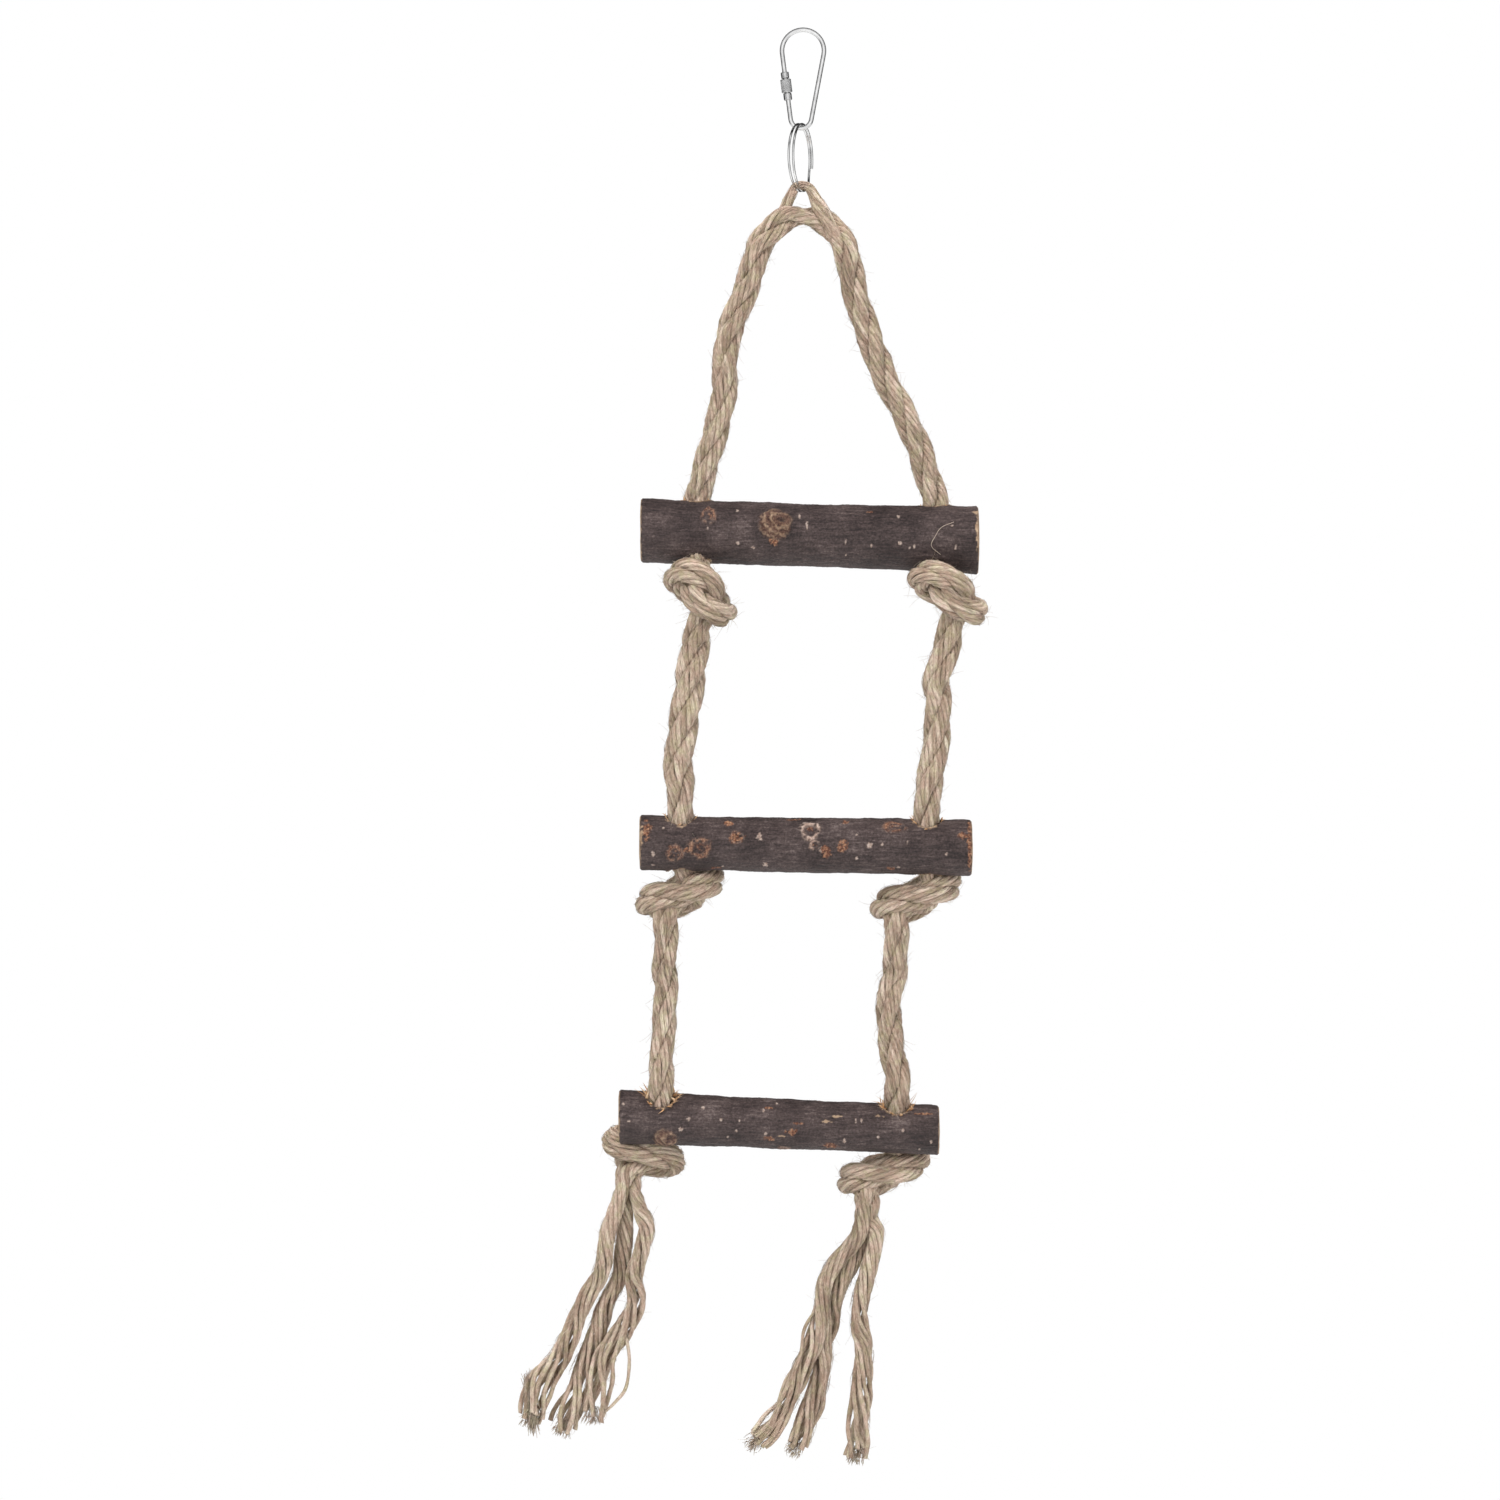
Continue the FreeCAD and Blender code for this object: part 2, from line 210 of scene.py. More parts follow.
def transport(points, first):
    """A run whose side vectors turn as little as possible along the curve."""
    tangent = unit(np.gradient(points, axis=0))
    side = np.empty_like(points)
    n = unit(first - tangent[0] * (first @ tangent[0]))
    for i, t in enumerate(tangent):
        n = n - t * (n @ t)
        n = n / np.linalg.norm(n)
        side[i] = n
    return Run(points, tangent, side, np.cross(tangent, side))


# ---------------------------------------------------------------- meshes


def add_object(name, data):
    obj = bpy.data.objects.new(name, data)
    bpy.context.scene.collection.objects.link(obj)
    return obj


def grid_faces(rows, columns, flip=False):
    """Quads of a grid of points whose columns wrap round."""
    i = np.arange(rows - 1)[:, None] * columns
    k = np.arange(columns)[None, :]
    n = (k + 1) % columns
    quads = np.stack([i + k, i + n, i + columns + n, i + columns + k], -1).reshape(-1, 4)
    return quads[:, [0, 3, 2, 1]] if flip else quads


class Soup:
    """Tubes gathered into one mesh."""

    def __init__(self):
        self.points, self.faces, self.uvs, self.tints = [], [], [], []
        self.count = 0

    def add(self, points, faces, uvs, tints):
        self.points.append(points)
        self.faces.append(faces + self.count)
        self.uvs.append(uvs)
        self.tints.append(tints)
        self.count += len(points)

    def tube(self, line, run, radius, along, tint, sides=YARN_SIDES, flat=1.0, cap=False):
        """A tube round a line, with the side vectors of a run, closed at its far end if asked."""
        side, up = run.side, run.up
        if cap:
            line, side, up, tint = (np.concatenate([a, a[-1:]]) for a in (line, side, up, tint))
            radius, along = np.r_[radius, 0.02], np.r_[along, along[-1] + 0.5]
        m = len(line)
        angle = np.arange(sides) * TURN / sides
        ring = np.cos(angle)[None, :, None] * side[:, None, :]
        ring = ring + flat * np.sin(angle)[None, :, None] * up[:, None, :]
        ring = ring * np.asarray(radius).reshape(-1, 1, 1)
        u0, u1 = np.repeat(along[:-1], sides), np.repeat(along[1:], sides)
        v0 = np.tile(np.arange(sides) / sides, m - 1)
        v1 = v0 + 1 / sides
        corners = [np.stack(pair, 1) for pair in ((u0, v0), (u0, v1), (u1, v1), (u1, v0))]
        points = (line[:, None, :] + ring).reshape(-1, 3)
        self.add(points, grid_faces(m, sides), np.stack(corners, 1).reshape(-1, 2), np.repeat(tint, sides))

    def make(self, name, material, smooth=True):
        """The mesh as an object, with its run for the grain and its tint for the colour."""
        points, faces = np.vstack(self.points) * MM, np.vstack(self.faces)
        mesh = bpy.data.meshes.new(name)
        mesh.vertices.add(len(points))
        mesh.vertices.foreach_set("co", points.astype(np.float32).ravel())
        mesh.loops.add(len(faces) * 4)
        mesh.loops.foreach_set("vertex_index", faces.astype(np.int32).ravel())
        mesh.polygons.add(len(faces))
        mesh.polygons.foreach_set("loop_start", np.arange(len(faces), dtype=np.int32) * 4)
        mesh.polygons.foreach_set("use_smooth", np.full(len(faces), smooth))
        mesh.update(calc_edges=True)
        layer = mesh.uv_layers.new(name="run")
        layer.data.foreach_set("uv", np.vstack(self.uvs).astype(np.float32).ravel())
        tint = mesh.attributes.new("tint", "FLOAT", "POINT")
        tint.data.foreach_set("value", np.concatenate(self.tints).astype(np.float32))
        mesh.materials.append(material)
        obj = add_object(name, mesh)
        return obj


# ---------------------------------------------------------------- materials


class Nodes:
    """A node tree, built a node at a time."""

    def __init__(self, tree):
        self.tree = tree

    def feed(self, socket, value):
        """Sets an input, or links another node's output to it."""
        if isinstance(value, bpy.types.NodeSocket):
            self.tree.links.new(value, socket)
        elif socket.type == "RGBA":
            socket.default_value = (*value, 1)
        else:
            socket.default_value = value

    def new(self, kind, inputs=None, **attributes):
        node = self.tree.nodes.new("ShaderNode" + kind)
        for key, value in attributes.items():
            setattr(node, key, value)
        for key, value in (inputs or {}).items():
            self.feed(node.inputs[key], value)
        return node

    def place(self):
        """Position in the object, in metres."""
        return self.new("TexCoord").outputs["Object"]

    def noise(self, vector, scale, detail=4.0, rough=0.55):
        inputs = {"Vector": vector, "Scale": scale, "Detail": detail, "Roughness": rough}
        return self.new("TexNoise", inputs).outputs["Fac"]

    def streaks(self, vector, stretch, detail, rough):
        """Noise at a scale of its own along each axis."""
        mapping = self.new("Mapping", {"Vector": vector, "Scale": stretch})
        return self.noise(mapping.outputs["Vector"], 1.0, detail, rough)

    def ramp(self, value, stops):
        """Colour from a value; a stop's colour may be one shade of grey."""
        node = self.new("ValToRGB", {"Fac": value})
        elements = node.color_ramp.elements
        while len(elements) < len(stops):
            elements.new(0.5)
        for element, (at, colour) in zip(elements, stops):
            element.position = at
            element.color = (*colour, 1) if isinstance(colour, tuple) else (colour, colour, colour, 1)
        return node.outputs["Color"]

    def mix(self, factor, a, b, kind="MIX"):
        return self.new("Mix", {0: factor, 6: a, 7: b}, data_type="RGBA", blend_type=kind).outputs[2]

    def math(self, operation, a, b=0.0):
        return self.new("Math", {0: a, 1: b}, operation=operation).outputs[0]

    def total(self, *terms):
        """The sum of values, each times its weight."""
        parts = [self.math("MULTIPLY", value, weight) for value, weight in terms]
        result = parts[0]
        for part in parts[1:]:
            result = self.math("ADD", result, part)
        return result


class Material(Nodes):
    """A material whose look ends in one surface shader."""

    def __init__(self, name):
        self.block = bpy.data.materials.new(name)
        self.block.use_nodes = True
        super().__init__(self.block.node_tree)
        self.shader = self.tree.nodes["Principled BSDF"]

    def attribute(self, name, output="Fac"):
        """A value that the mesh carries."""
        return self.new("Attribute", attribute_name=name).outputs[output]

    def finish(self, inputs, height=None, strength=0.0, distance=0.0):
        """Feeds the shader, with a bump from a height if there is one, and gives the material."""
        for key, value in inputs.items():
            self.feed(self.shader.inputs[key], value)
        if height is not None:
            bump = self.new("Bump", {"Height": height, "Strength": strength, "Distance": distance})
            self.feed(self.shader.inputs["Normal"], bump.outputs["Normal"])
        return self.block


def jute():
    """Dull fibre that varies from yarn to yarn, in streaks along each yarn, some of them dark."""
    m = Material("jute")
    run = m.new("UVMap", uv_map="run").outputs["UV"]
    broad = m.streaks(run, (0.30, 5.0, 1.0), 5.0, 0.6)
    fine = m.streaks(run, (1.1, 14.0, 1.0), 3.0, 0.6)
    thread = m.streaks(run, (0.55, 20.0, 1.0), 2.0, 0.7)
    dark = m.streaks(run, (0.416, 9.1, 1.3), 2.0, 0.5)
    value = m.total((broad, 0.36), (fine, 0.36), (thread, 0.30), (m.attribute("tint"), 0.30))
    colour = m.ramp(value, [
        (0.40, (0.110, 0.073, 0.048)),
        (0.54, (0.270, 0.197, 0.143)),
        (0.68, (0.485, 0.382, 0.296)),
        (0.84, (0.745, 0.645, 0.550)),
    ])
    colour = m.mix(m.ramp(dark, [(0.27, 0.8), (0.40, 0.0)]), colour, (0.120, 0.080, 0.050))
    hue = m.noise(m.place(), 260.0, 3.0, 0.7)
    warm = m.ramp(hue, [(0.38, (0.95, 1.0, 0.86)), (0.5, (1.0, 0.98, 0.95)), (0.62, (1.0, 0.91, 0.90))])
    colour = m.mix(1.0, colour, warm, "MULTIPLY")
    look = {"Base Color": colour, "Roughness": 0.9, "Sheen Weight": 0.08}
    return m.finish(look, m.math("ADD", fine, thread), 0.8, 0.0004)


def bark():
    """Dark bark with pale dots, rusty scars and bare wood where the mesh is marked."""
    m = Material("bark")
    place = m.place()
    marks = m.new("SeparateColor", {"Color": m.attribute("marks", "Color")}).outputs
    broad = m.noise(place, 60.0)
    grain = m.streaks(place, (90.0, 900.0, 900.0), 5.0, 0.7)
    thread = m.streaks(place, (380.0, 2600.0, 2600.0), 3.0, 0.7)
    speck = m.noise(place, 1100.0, 3.0, 0.75)
    value = m.total((broad, 0.25), (grain, 0.28), (thread, 0.20), (speck, 0.27))
    colour = m.ramp(value, [
        (0.40, (0.014, 0.010, 0.010)),
        (0.47, (0.037, 0.026, 0.025)),
        (0.54, (0.078, 0.056, 0.053)),
        (0.62, (0.180, 0.140, 0.130)),
    ])
    pale = m.ramp(speck, [(0.38, (0.34, 0.23, 0.18)), (0.6, (0.62, 0.50, 0.43))])
    rust = m.ramp(speck, [
        (0.38, (0.065, 0.026, 0.018)),
        (0.50, (0.215, 0.090, 0.052)),
        (0.62, (0.400, 0.225, 0.130)),
    ])
    raw = m.ramp(grain, [(0.35, (0.25, 0.155, 0.095)), (0.65, (0.50, 0.36, 0.24))])
    for mark, over in (("Red", pale), ("Green", rust), ("Blue", raw)):
        colour = m.mix(marks[mark], colour, over)
    rough = m.ramp(grain, [(0.3, 0.55), (0.7, 0.78)])
    look = {"Base Color": colour, "Roughness": rough, "Specular IOR Level": 0.35}
    return m.finish(look, m.total((grain, 1.0), (thread, 1.0), (speck, 0.5)), 0.8, 0.0005)


def raw_wood():
    """Pale sawn and drilled wood; an end face's share of the radius gives its rings and its rim of bark."""
    m = Material("raw_wood")
    place = m.place()
    grain = m.noise(place, 900.0, 4.0, 0.65)
    share = m.attribute("marks")
    rings = m.math("SINE", m.total((share, 46.0), (m.noise(place, 110.0, 3.0), 14.0)))
    value = m.total((grain, 0.7), (rings, 0.05))
    wood = m.ramp(value, [
        (0.22, (0.215, 0.125, 0.070)),
        (0.34, (0.425, 0.295, 0.180)),
        (0.47, (0.600, 0.470, 0.330)),
    ])
    colour = m.mix(m.ramp(share, [(0.93, 0.0), (0.96, 1.0)]), wood, (0.085, 0.050, 0.038))
    look = {"Base Color": colour, "Roughness": 0.85}
    return m.finish(look, m.total((grain, 1.0), (rings, 0.3)), 0.6, 0.0003)


def splinter_wood():
    """Torn fibres, lighter at their tips."""
    m = Material("splinter_wood")
    stops = [(0.0, (0.30, 0.13, 0.05)), (0.5, (0.58, 0.33, 0.16)), (1.0, (0.78, 0.58, 0.38))]
    return m.finish({"Base Color": m.ramp(m.attribute("tint"), stops), "Roughness": 0.75})


def steel(name, shade, roughness):
    """Plated steel, a little duller in worn patches."""
    m = Material(name)
    wear = m.noise(m.place(), 260.0, 3.0)
    colour = m.ramp(wear, [(0.35, shade * 0.8), (0.6, shade)])
    rough = m.ramp(wear, [(0.3, roughness * 1.5), (0.6, roughness)])
    return m.finish({"Base Color": colour, "Metallic": 1.0, "Roughness": rough})


def pale_floor():
    """Matt and pale under the ladder, fading to the white of the background at its rim."""
    m = Material("pale_floor")
    m.finish({"Base Color": (0.90, 0.90, 0.89), "Roughness": 0.9})
    reach = m.new("VectorMath", {0: m.place()}, operation="LENGTH").outputs["Value"]
    limits = {"Value": reach, "From Min": 1.2, "From Max": 2.2}
    fade = m.new("MapRange", limits, interpolation_type="SMOOTHSTEP").outputs["Result"]
    joined = m.new("MixShader", {0: fade, 1: m.shader.outputs[0], 2: m.new("Emission").outputs[0]})
    m.feed(m.tree.nodes["Material Output"].inputs["Surface"], joined.outputs[0])
    return m.block


JUTE = jute()
BARK = bark()
RAW = raw_wood()
SPLINTER = splinter_wood()
WIRE = steel("bright_steel", 0.74, 0.10)
NUT = steel("nut_steel", 0.62, 0.24)


# ---------------------------------------------------------------- rope path


def tight_overhand(diameter=10.2, steps=1400):
    """An overhand knot pulled tight: a loose one is shortened step by step while its turns keep apart."""
    t = np.linspace(2.0, -2.0, 2000)
    p = np.stack([t**3 - 3 * t, t**4 - 4 * t**2, -(t**5 - 10 * t) * 0.26], 1) * diameter * 0.62
    if p[0, 2] < p[-1, 2]:
        p = p[::-1]
    tail = np.array([0, 0, diameter * 4])
    p = resample(np.vstack([p[0] + tail, p, p[-1] - tail]), diameter / 4)
    step = np.linalg.norm(p[1] - p[0])
    n = len(p)
    i, j = np.triu_indices(n, k=int(math.ceil(math.pi / 2 * diameter / step)))
    for _ in range(steps):
        p[0, 2] += 0.25
        p[-1, 2] -= 0.25
        p[np.abs(p[:, 2]) > 17, :2] *= 0.97
        p[1:-1] += 0.05 * ((p[:-2] + p[2:]) / 2 - p[1:-1])
        for _ in range(6):
            for start in (0, 1):
                pairs = (n - start) // 2
                a = p[start:start + 2 * pairs:2]
                b = p[start + 1:start + 1 + 2 * pairs:2]
                gap = b - a
                fix = gap * (1 - step / np.linalg.norm(gap, axis=1)[:, None]) * 0.5
                a += fix
                b -= fix
            apart = p[i] - p[j]
            near = np.where((apart**2).sum(1) < diameter**2)[0]
            reach = np.linalg.norm(apart[near], axis=1)[:, None]
            push = apart[near] / reach * (diameter - reach) * 0.35
            np.add.at(p, i[near], push)
            np.add.at(p, j[near], -push)
    return p


OVERHAND = tight_overhand()


def knot_run(centre, turn, width, height, top, low, mirror=False):
    """The knot's path from top to low, turned about the vertical and pressed together."""
    p = OVERHAND.copy()
    above = np.where(p[:, 2] > KNOT_REACH)[0]
    below = np.where(p[:, 2] < -KNOT_REACH)[0]
    middle = len(p) // 2
    p = p[above[above < middle].max():below[below > middle].min() + 1]
    if mirror:
        p[:, 0] *= -1
    c, s = math.cos(math.radians(turn)), math.sin(math.radians(turn))
    p = np.stack([c * p[:, 0] - s * p[:, 1], s * p[:, 0] + c * p[:, 1], p[:, 2]], 1)
    f = np.clip(p[:, 2] / KNOT_REACH, -1, 1)[:, None]
    centre, top, low = (np.array(v, float) for v in (centre, top, low))
    shift = (top - centre) * np.maximum(f, 0) + (low - centre) * np.maximum(-f, 0)
    shift[:, 2] = 0
    return p * [width, KNOT_DEPTH, height] + shift + centre


def spot(pair, side):
    """The left or right bending point of a pair."""
    return np.array([pair[0][side], pair[1], pair[2]], float)


def hole_up(lean):
    a = math.radians(lean)
    return np.array([0, -math.sin(a), math.cos(a)])


def on_hole(rung, side, z):
    """The point of a hole's axis at height z."""
    up = hole_up(rung["lean"])
    point = np.array(rung["holes"][side], float)
    return point + up * ((z - point[2]) / up[2])


# way points from the crown to the top rung, and from each fold to the next rung
LEGS = (
    [(-12.8, 0, -80), (-18, 0, -86.4), (-21.4, 0.3, -99.2), (-26.4, 0.8, -112), (-30.6, 1.1, -124.8),
     (-31.2, 1.5, -137.6), (-32.6, 2, -150.4), (-36, 2.5, -163.2), (-39.6, 2.7, -176)],
    [(12.8, 0, -80), (17.2, 0, -86.4), (19.6, 0.3, -99.2), (23.2, 0.8, -112), (27.6, 1.1, -124.8),
     (32.4, 1.5, -137.6), (39.2, 2, -150.4), (45.2, 2.5, -163.2), (49.6, 2.7, -176)],
)
SPANS = (
    [[(-46.4, -4.2, -268), (-48.4, -4.5, -281), (-50.0, -5, -295)],
     [(-54.8, 3.2, -384), (-55.6, 0, -397), (-56.4, -4, -411)]],
    [[(54.0, -4.2, -268), (53.4, -4.5, -281), (51.4, -5, -295)],
     [(34.9, 3.2, -384), (34.4, 0, -397), (36.2, -4, -411)]],
)
CROWN = ((-7.0, 0, -73.8), (-0.6, 0, -72.4), (6.4, 0, -73.8))

# each knot: centre, turn about the vertical, width and height against the free knot, mirrored, swelling
KNOTS = (
    [((-42.6, -2.9, -224.6), 15, 0.79, 0.84, False, 0.98),
     ((-52.0, 4.5, -344.6), 160, 0.88, 0.52, False, 1.14),
     ((-61.6, 9, -448.6), 190, 1.22, 0.56, True, 1.06)],
    [((56.6, -2.9, -224.8), 15, 0.81, 0.77, False, 0.98),
     ((42.4, 4.5, -346.2), 160, 0.76, 0.52, False, 1.14),
     ((27.6, 9, -457.2), 160, 0.78, 0.47, False, 1.13)],
)
# swelling of each side's upper and lower span
SPAN_SWELLINGS = ((1.16, 0.94), (1.07, 1.0))
# a hole's way points: their start above the rung's axis or below a hold, their step, and their stop
ABOVE_AXIS = 12
BELOW_HOLD = 7
HOLE_STEP = 6
OVER_KNOT = 3
# a knot's end above the fold under it
OVER_FOLD = 5


def side_run(side):
    """Way points of one leg from crown to tassel, and each knot's stretch as (first, last, swelling)."""
    folds = [spot(FOLD_1, side), spot(FOLD_2, side), np.array(TASSEL_TOP[side], float)]
    racks = [spot(RACK_1, side), spot(RACK_2, side)]
    holds = [None, spot(HOLD_2, side), spot(HOLD_3, side)]
    points = list(LEGS[side])
    knots = []
    for level, rung in enumerate(RUNGS.values()):
        centre, turn, width, height, mirror, swelling = KNOTS[side][level]
        reach = KNOT_REACH * height
        entry = rung["left"][2] + ABOVE_AXIS
        if level:
            points += SPANS[side][level - 1] + [holds[level]]
            entry = holds[level][2] - BELOW_HOLD
        heights = np.arange(entry, centre[2] + reach + OVER_KNOT, -HOLE_STEP)
        points += [on_hole(rung, side, z) for z in heights]
        top = on_hole(rung, side, centre[2] + reach)
        low = folds[level] + np.array([0, 0, OVER_FOLD])
        run = knot_run(centre, turn, width, height, top, low, mirror)
        knots.append((len(points), len(points) + len(run) - 1, swelling))
        points += list(run) + [folds[level]]
        if level < 2:
            points += [(folds[level] + racks[level]) / 2, racks[level]]
    return points, knots


class Rope:
    """The whole rope from the left tassel over the crown to the right tassel."""

    # distance between its points, points from one way point to the next, and how far corners are rounded off
    step = 0.4
    per = 8
    rounding = 2.2

    def __init__(self):
        left, left_knots = side_run(0)
        right, right_knots = side_run(1)
        fine = catmull(left[::-1] + list(CROWN) + right, self.per)
        lengths = lengths_along(fine)
        self.s = np.arange(0, lengths[-1], self.step)
        line = soften(at_lengths(self.s, fine), self.rounding / self.step)
        self.run = transport(line, BACK)
        self.line = line
        self.middle = int(np.argmin(np.linalg.norm(line - CROWN[1], axis=1)))
        self.swell = np.ones(len(self.s))
        last, first = len(left) - 1, len(left) + len(CROWN)
        left_stretches = [(last - b, last - a, swelling) for a, b, swelling in left_knots]
        right_stretches = [(first + a, first + b, swelling) for a, b, swelling in right_knots]
        self.knot_top = (
            [int(self.swell_knot(lengths, *stretch)[1] / self.step) for stretch in left_stretches],
            [int(self.swell_knot(lengths, *stretch)[0] / self.step) for stretch in right_stretches],
        )
        self.swell_spans()
        s = self.s - self.s[self.middle]
        lifted = math.atan2(self.run.up[self.middle][2], self.run.side[self.middle][2])
        self.phase = lifted + TURN * s / LAY + 0.25 * wander(self.s, 40, 6)
        self.yarn_phase = YARN_TURN * s
        self.offset = STRAND_OFFSET + 0.2 * wander(self.s, 9, 5)

    def swell_knot(self, lengths, first, last, swelling):
        """Swells the rope between two way points, and gives their lengths."""
        start, stop = lengths[first * self.per], lengths[last * self.per]
        self.swell += (swelling - 1) * smoothstep(np.minimum(self.s - start, stop - self.s) / 8)
        return start, stop

    def swell_spans(self):
        z = self.line[:, 2]
        for side, swellings in enumerate(SPAN_SWELLINGS):
            here = (np.arange(len(z)) > self.middle) == bool(side)
            for (fold, hold), swelling in zip(((FOLD_1, HOLD_2), (FOLD_2, HOLD_3)), swellings):
                amount = smoothstep((fold[2] + 6 - z) / 8) * smoothstep((z - hold[2] + 2) / 8)
                self.swell += (swelling - 1) * amount * here

    def near(self, point, side):
        """Index of the rope nearest to a point, on one leg."""
        d = np.linalg.norm(self.line - np.asarray(point), axis=1)
        if side:
            d[:self.middle] = np.inf
        else:
            d[self.middle:] = np.inf
        return int(np.argmin(d))

    def facing(self, number, rows):
        """The way a strand lies from the rope's centre, as an angle between side and up."""
        return self.phase[rows] + number * TURN / STRANDS

    def strand(self, number, rows):
        """Centre line of one strand at the given rows."""
        out, _ = self.run[rows].turned(self.facing(number, rows))
        return self.line[rows] + out * (self.offset * self.swell)[rows][:, None]


ROPE = Rope()
ROWS = round(RING_STEP / ROPE.step)
ENDS = [ROPE.near(TASSEL_TOP[side], side) // ROWS * ROWS for side in (0, 1)]
# the way along the rope that leads down each leg
DOWN = (-1, 1)


def steps(length):
    """Points of the rope in a length."""
    return round(length / ROPE.step)


def rows_between(first, last):
    """The points of the rope that its meshes use, between two of them in either order."""
    a, b = sorted((first, last))
    return np.arange(a - a % ROWS, b - b % ROWS + 1, ROWS)


# ---------------------------------------------------------------- strands and fibres


def yarn_places(angle, open_r, laid):
    """A yarn's place, outward and across its strand; a laid strand fills a third of the rope."""
    x, y = STRAND_OFFSET + LAID_R * np.cos(angle), LAID_R * np.sin(angle)
    far = np.hypot(x, y) + 0.3 * np.sin(angle) ** 2
    wide = 1.3 * np.arctan2(y, x)
    outward = laid * (far * np.cos(wide) - STRAND_OFFSET) + (1 - laid) * open_r * np.cos(angle)
    across = laid * far * np.sin(wide) + (1 - laid) * open_r * np.sin(angle)
    return outward, across


def add_strand(soup, run, s, number, facing, phase, laid=1.0, open_r=OPEN_R, size=1.0, stray=0.0, tip=None):
    """Yarns and fuzz round one strand's run; laid, open_r, size and stray may change along it."""
    seed = 100 + number * 20
    laid, open_r, size, stray = (value * np.ones(len(s)) for value in (laid, open_r, size, stray))
    out, over = run.turned(facing)
    for yarn in range(YARNS + 1):
        angle = phase + yarn * TURN / YARNS - facing + 0.12 * wander(s, 17, seed + yarn)
        outward, across = yarn_places(angle, open_r, laid)
        reach = size * (1 + 0.06 * wander(s, 6, seed + 31 + yarn)) * (yarn < YARNS)
        outward = outward * reach + stray * wander(s, 13, seed + 101 + yarn)
        across = across * reach + stray * wander(s, 12, seed + 131 + yarn)
        line = run.line + out * outward[:, None] + over * across[:, None]
        uneven = 1 + 0.10 * wander(s, 4.5, seed + 57 + yarn) + 0.05 * wander(s, 1.7, seed + 7 + yarn)
        radius = YARN_R * size * uneven
        tint = 0.5 + 0.28 * wander(s, 30, seed + 71 + yarn) + 0.22 * wander(s, 7, seed + 83 + yarn)
        rows = slice(0, len(s) if tip is None else max(6, len(s) - tip[yarn]))
        soup.tube(line[rows], run[rows], radius[rows], s[rows] + 13.7 * yarn, tint[rows], cap=tip is not None)
    add_fuzz(soup, run, s, (out, over), phase - facing, laid, open_r, size, seed)


def add_fuzz(soup, run, s, axes, spin, laid, open_r, size, seed):
    """Fine fibres that lie along the yarns of a strand and stand a little off them."""
    rng = np.random.default_rng(seed + int(abs(s[0])))
    out, over = axes
    for _ in range(int(abs(s[-1] - s[0]) * FUZZ)):
        count = min(len(s), int(rng.integers(5, 10)))
        first = int(rng.integers(0, len(s) - count + 1))
        rows = slice(first, first + count)
        t = np.linspace(0, 1, count)
        angle = rng.uniform(-2.3, 2.3) + (spin[rows] - spin[first]) * rng.uniform(0.3, 1.1)
        angle = angle + rng.normal(0, 0.5) * t
        outward, across = yarn_places(angle, open_r[rows], laid[rows])
        lift = YARN_R * (0.8 + rng.uniform(0.0, 0.5) * np.sin(t * math.pi) + rng.uniform(0.0, 0.6) ** 2 * t)
        outward, across = outward + lift * np.cos(angle), across + lift * np.sin(angle)
        away = out[rows] * outward[:, None] + over[rows] * across[:, None]
        line = run.line[rows] + away * size[rows][:, None]
        radius = rng.uniform(0.06, 0.12) * (1 - 0.6 * t)
        along = s[rows] + rng.uniform(0, 90)
        soup.tube(line, run[rows], radius, along, np.full(count, rng.uniform(0, 1.1)), sides=3)


def add_hairs(soup, run, count, seed, outer=5.2, long=5.0):
    """Loose fibres that lift off a rope or strand."""
    rng = np.random.default_rng(seed)
    rows = rng.integers(2, len(run.line) - 2, count)
    for row, a in zip(rows, rng.uniform(0, TURN, count)):
        out = run.outward(a, row)
        across = np.cross(run.tangent[row], out)
        way = rng.choice([-1, 1]) * run.tangent[row] * rng.uniform(0.5, 1.1) + out * rng.uniform(0.15, 0.9)
        way = way + across * rng.normal(0, 0.5)
        curl = out * rng.normal(-0.1, 0.5) + across * rng.normal(0, 0.6)
        length = long * rng.uniform(0.35, 1.0)
        root = run.line[row] + out * (outer - 0.35)
        add_fibre(soup, root, length * way, length * curl * 0.6, 0.075, rng.uniform(0.45, 1.0))


def add_fibre(soup, root, way, curl, radius, tint):
    """One thin bent fibre."""
    t = np.linspace(0, 1, 6)[:, None]
    run = transport(root + way * t + curl * t**2, np.cross(way, curl) + 0.01)
    taper = np.linspace(radius, radius * 0.35, len(t))
    soup.tube(run.line, run, taper, t[:, 0] * 5 + root[2], np.full(len(t), tint), sides=3)


# ---------------------------------------------------------------- laid rope


def add_rope(soup, rows, skip=None, hairs=0.9, size=1.0):
    """The strands of the laid rope at the given rows, with loose fibres."""
    size = size * np.ones(len(rows))
    run = ROPE.run[rows]
    for number in range(STRANDS):
        if number == skip:
            continue
        centre = run.line + (ROPE.strand(number, rows) - run.line) * size[:, None]
        add_strand(soup, Run(centre, run.tangent, run.side, run.up), ROPE.s[rows], number,
                   ROPE.facing(number, rows), ROPE.yarn_phase[rows] + number, size=size * ROPE.swell[rows])
    count = int(len(rows) * RING_STEP * hairs * (1.0))
    if count:
        add_hairs(soup, run, count, int(rows[0]))


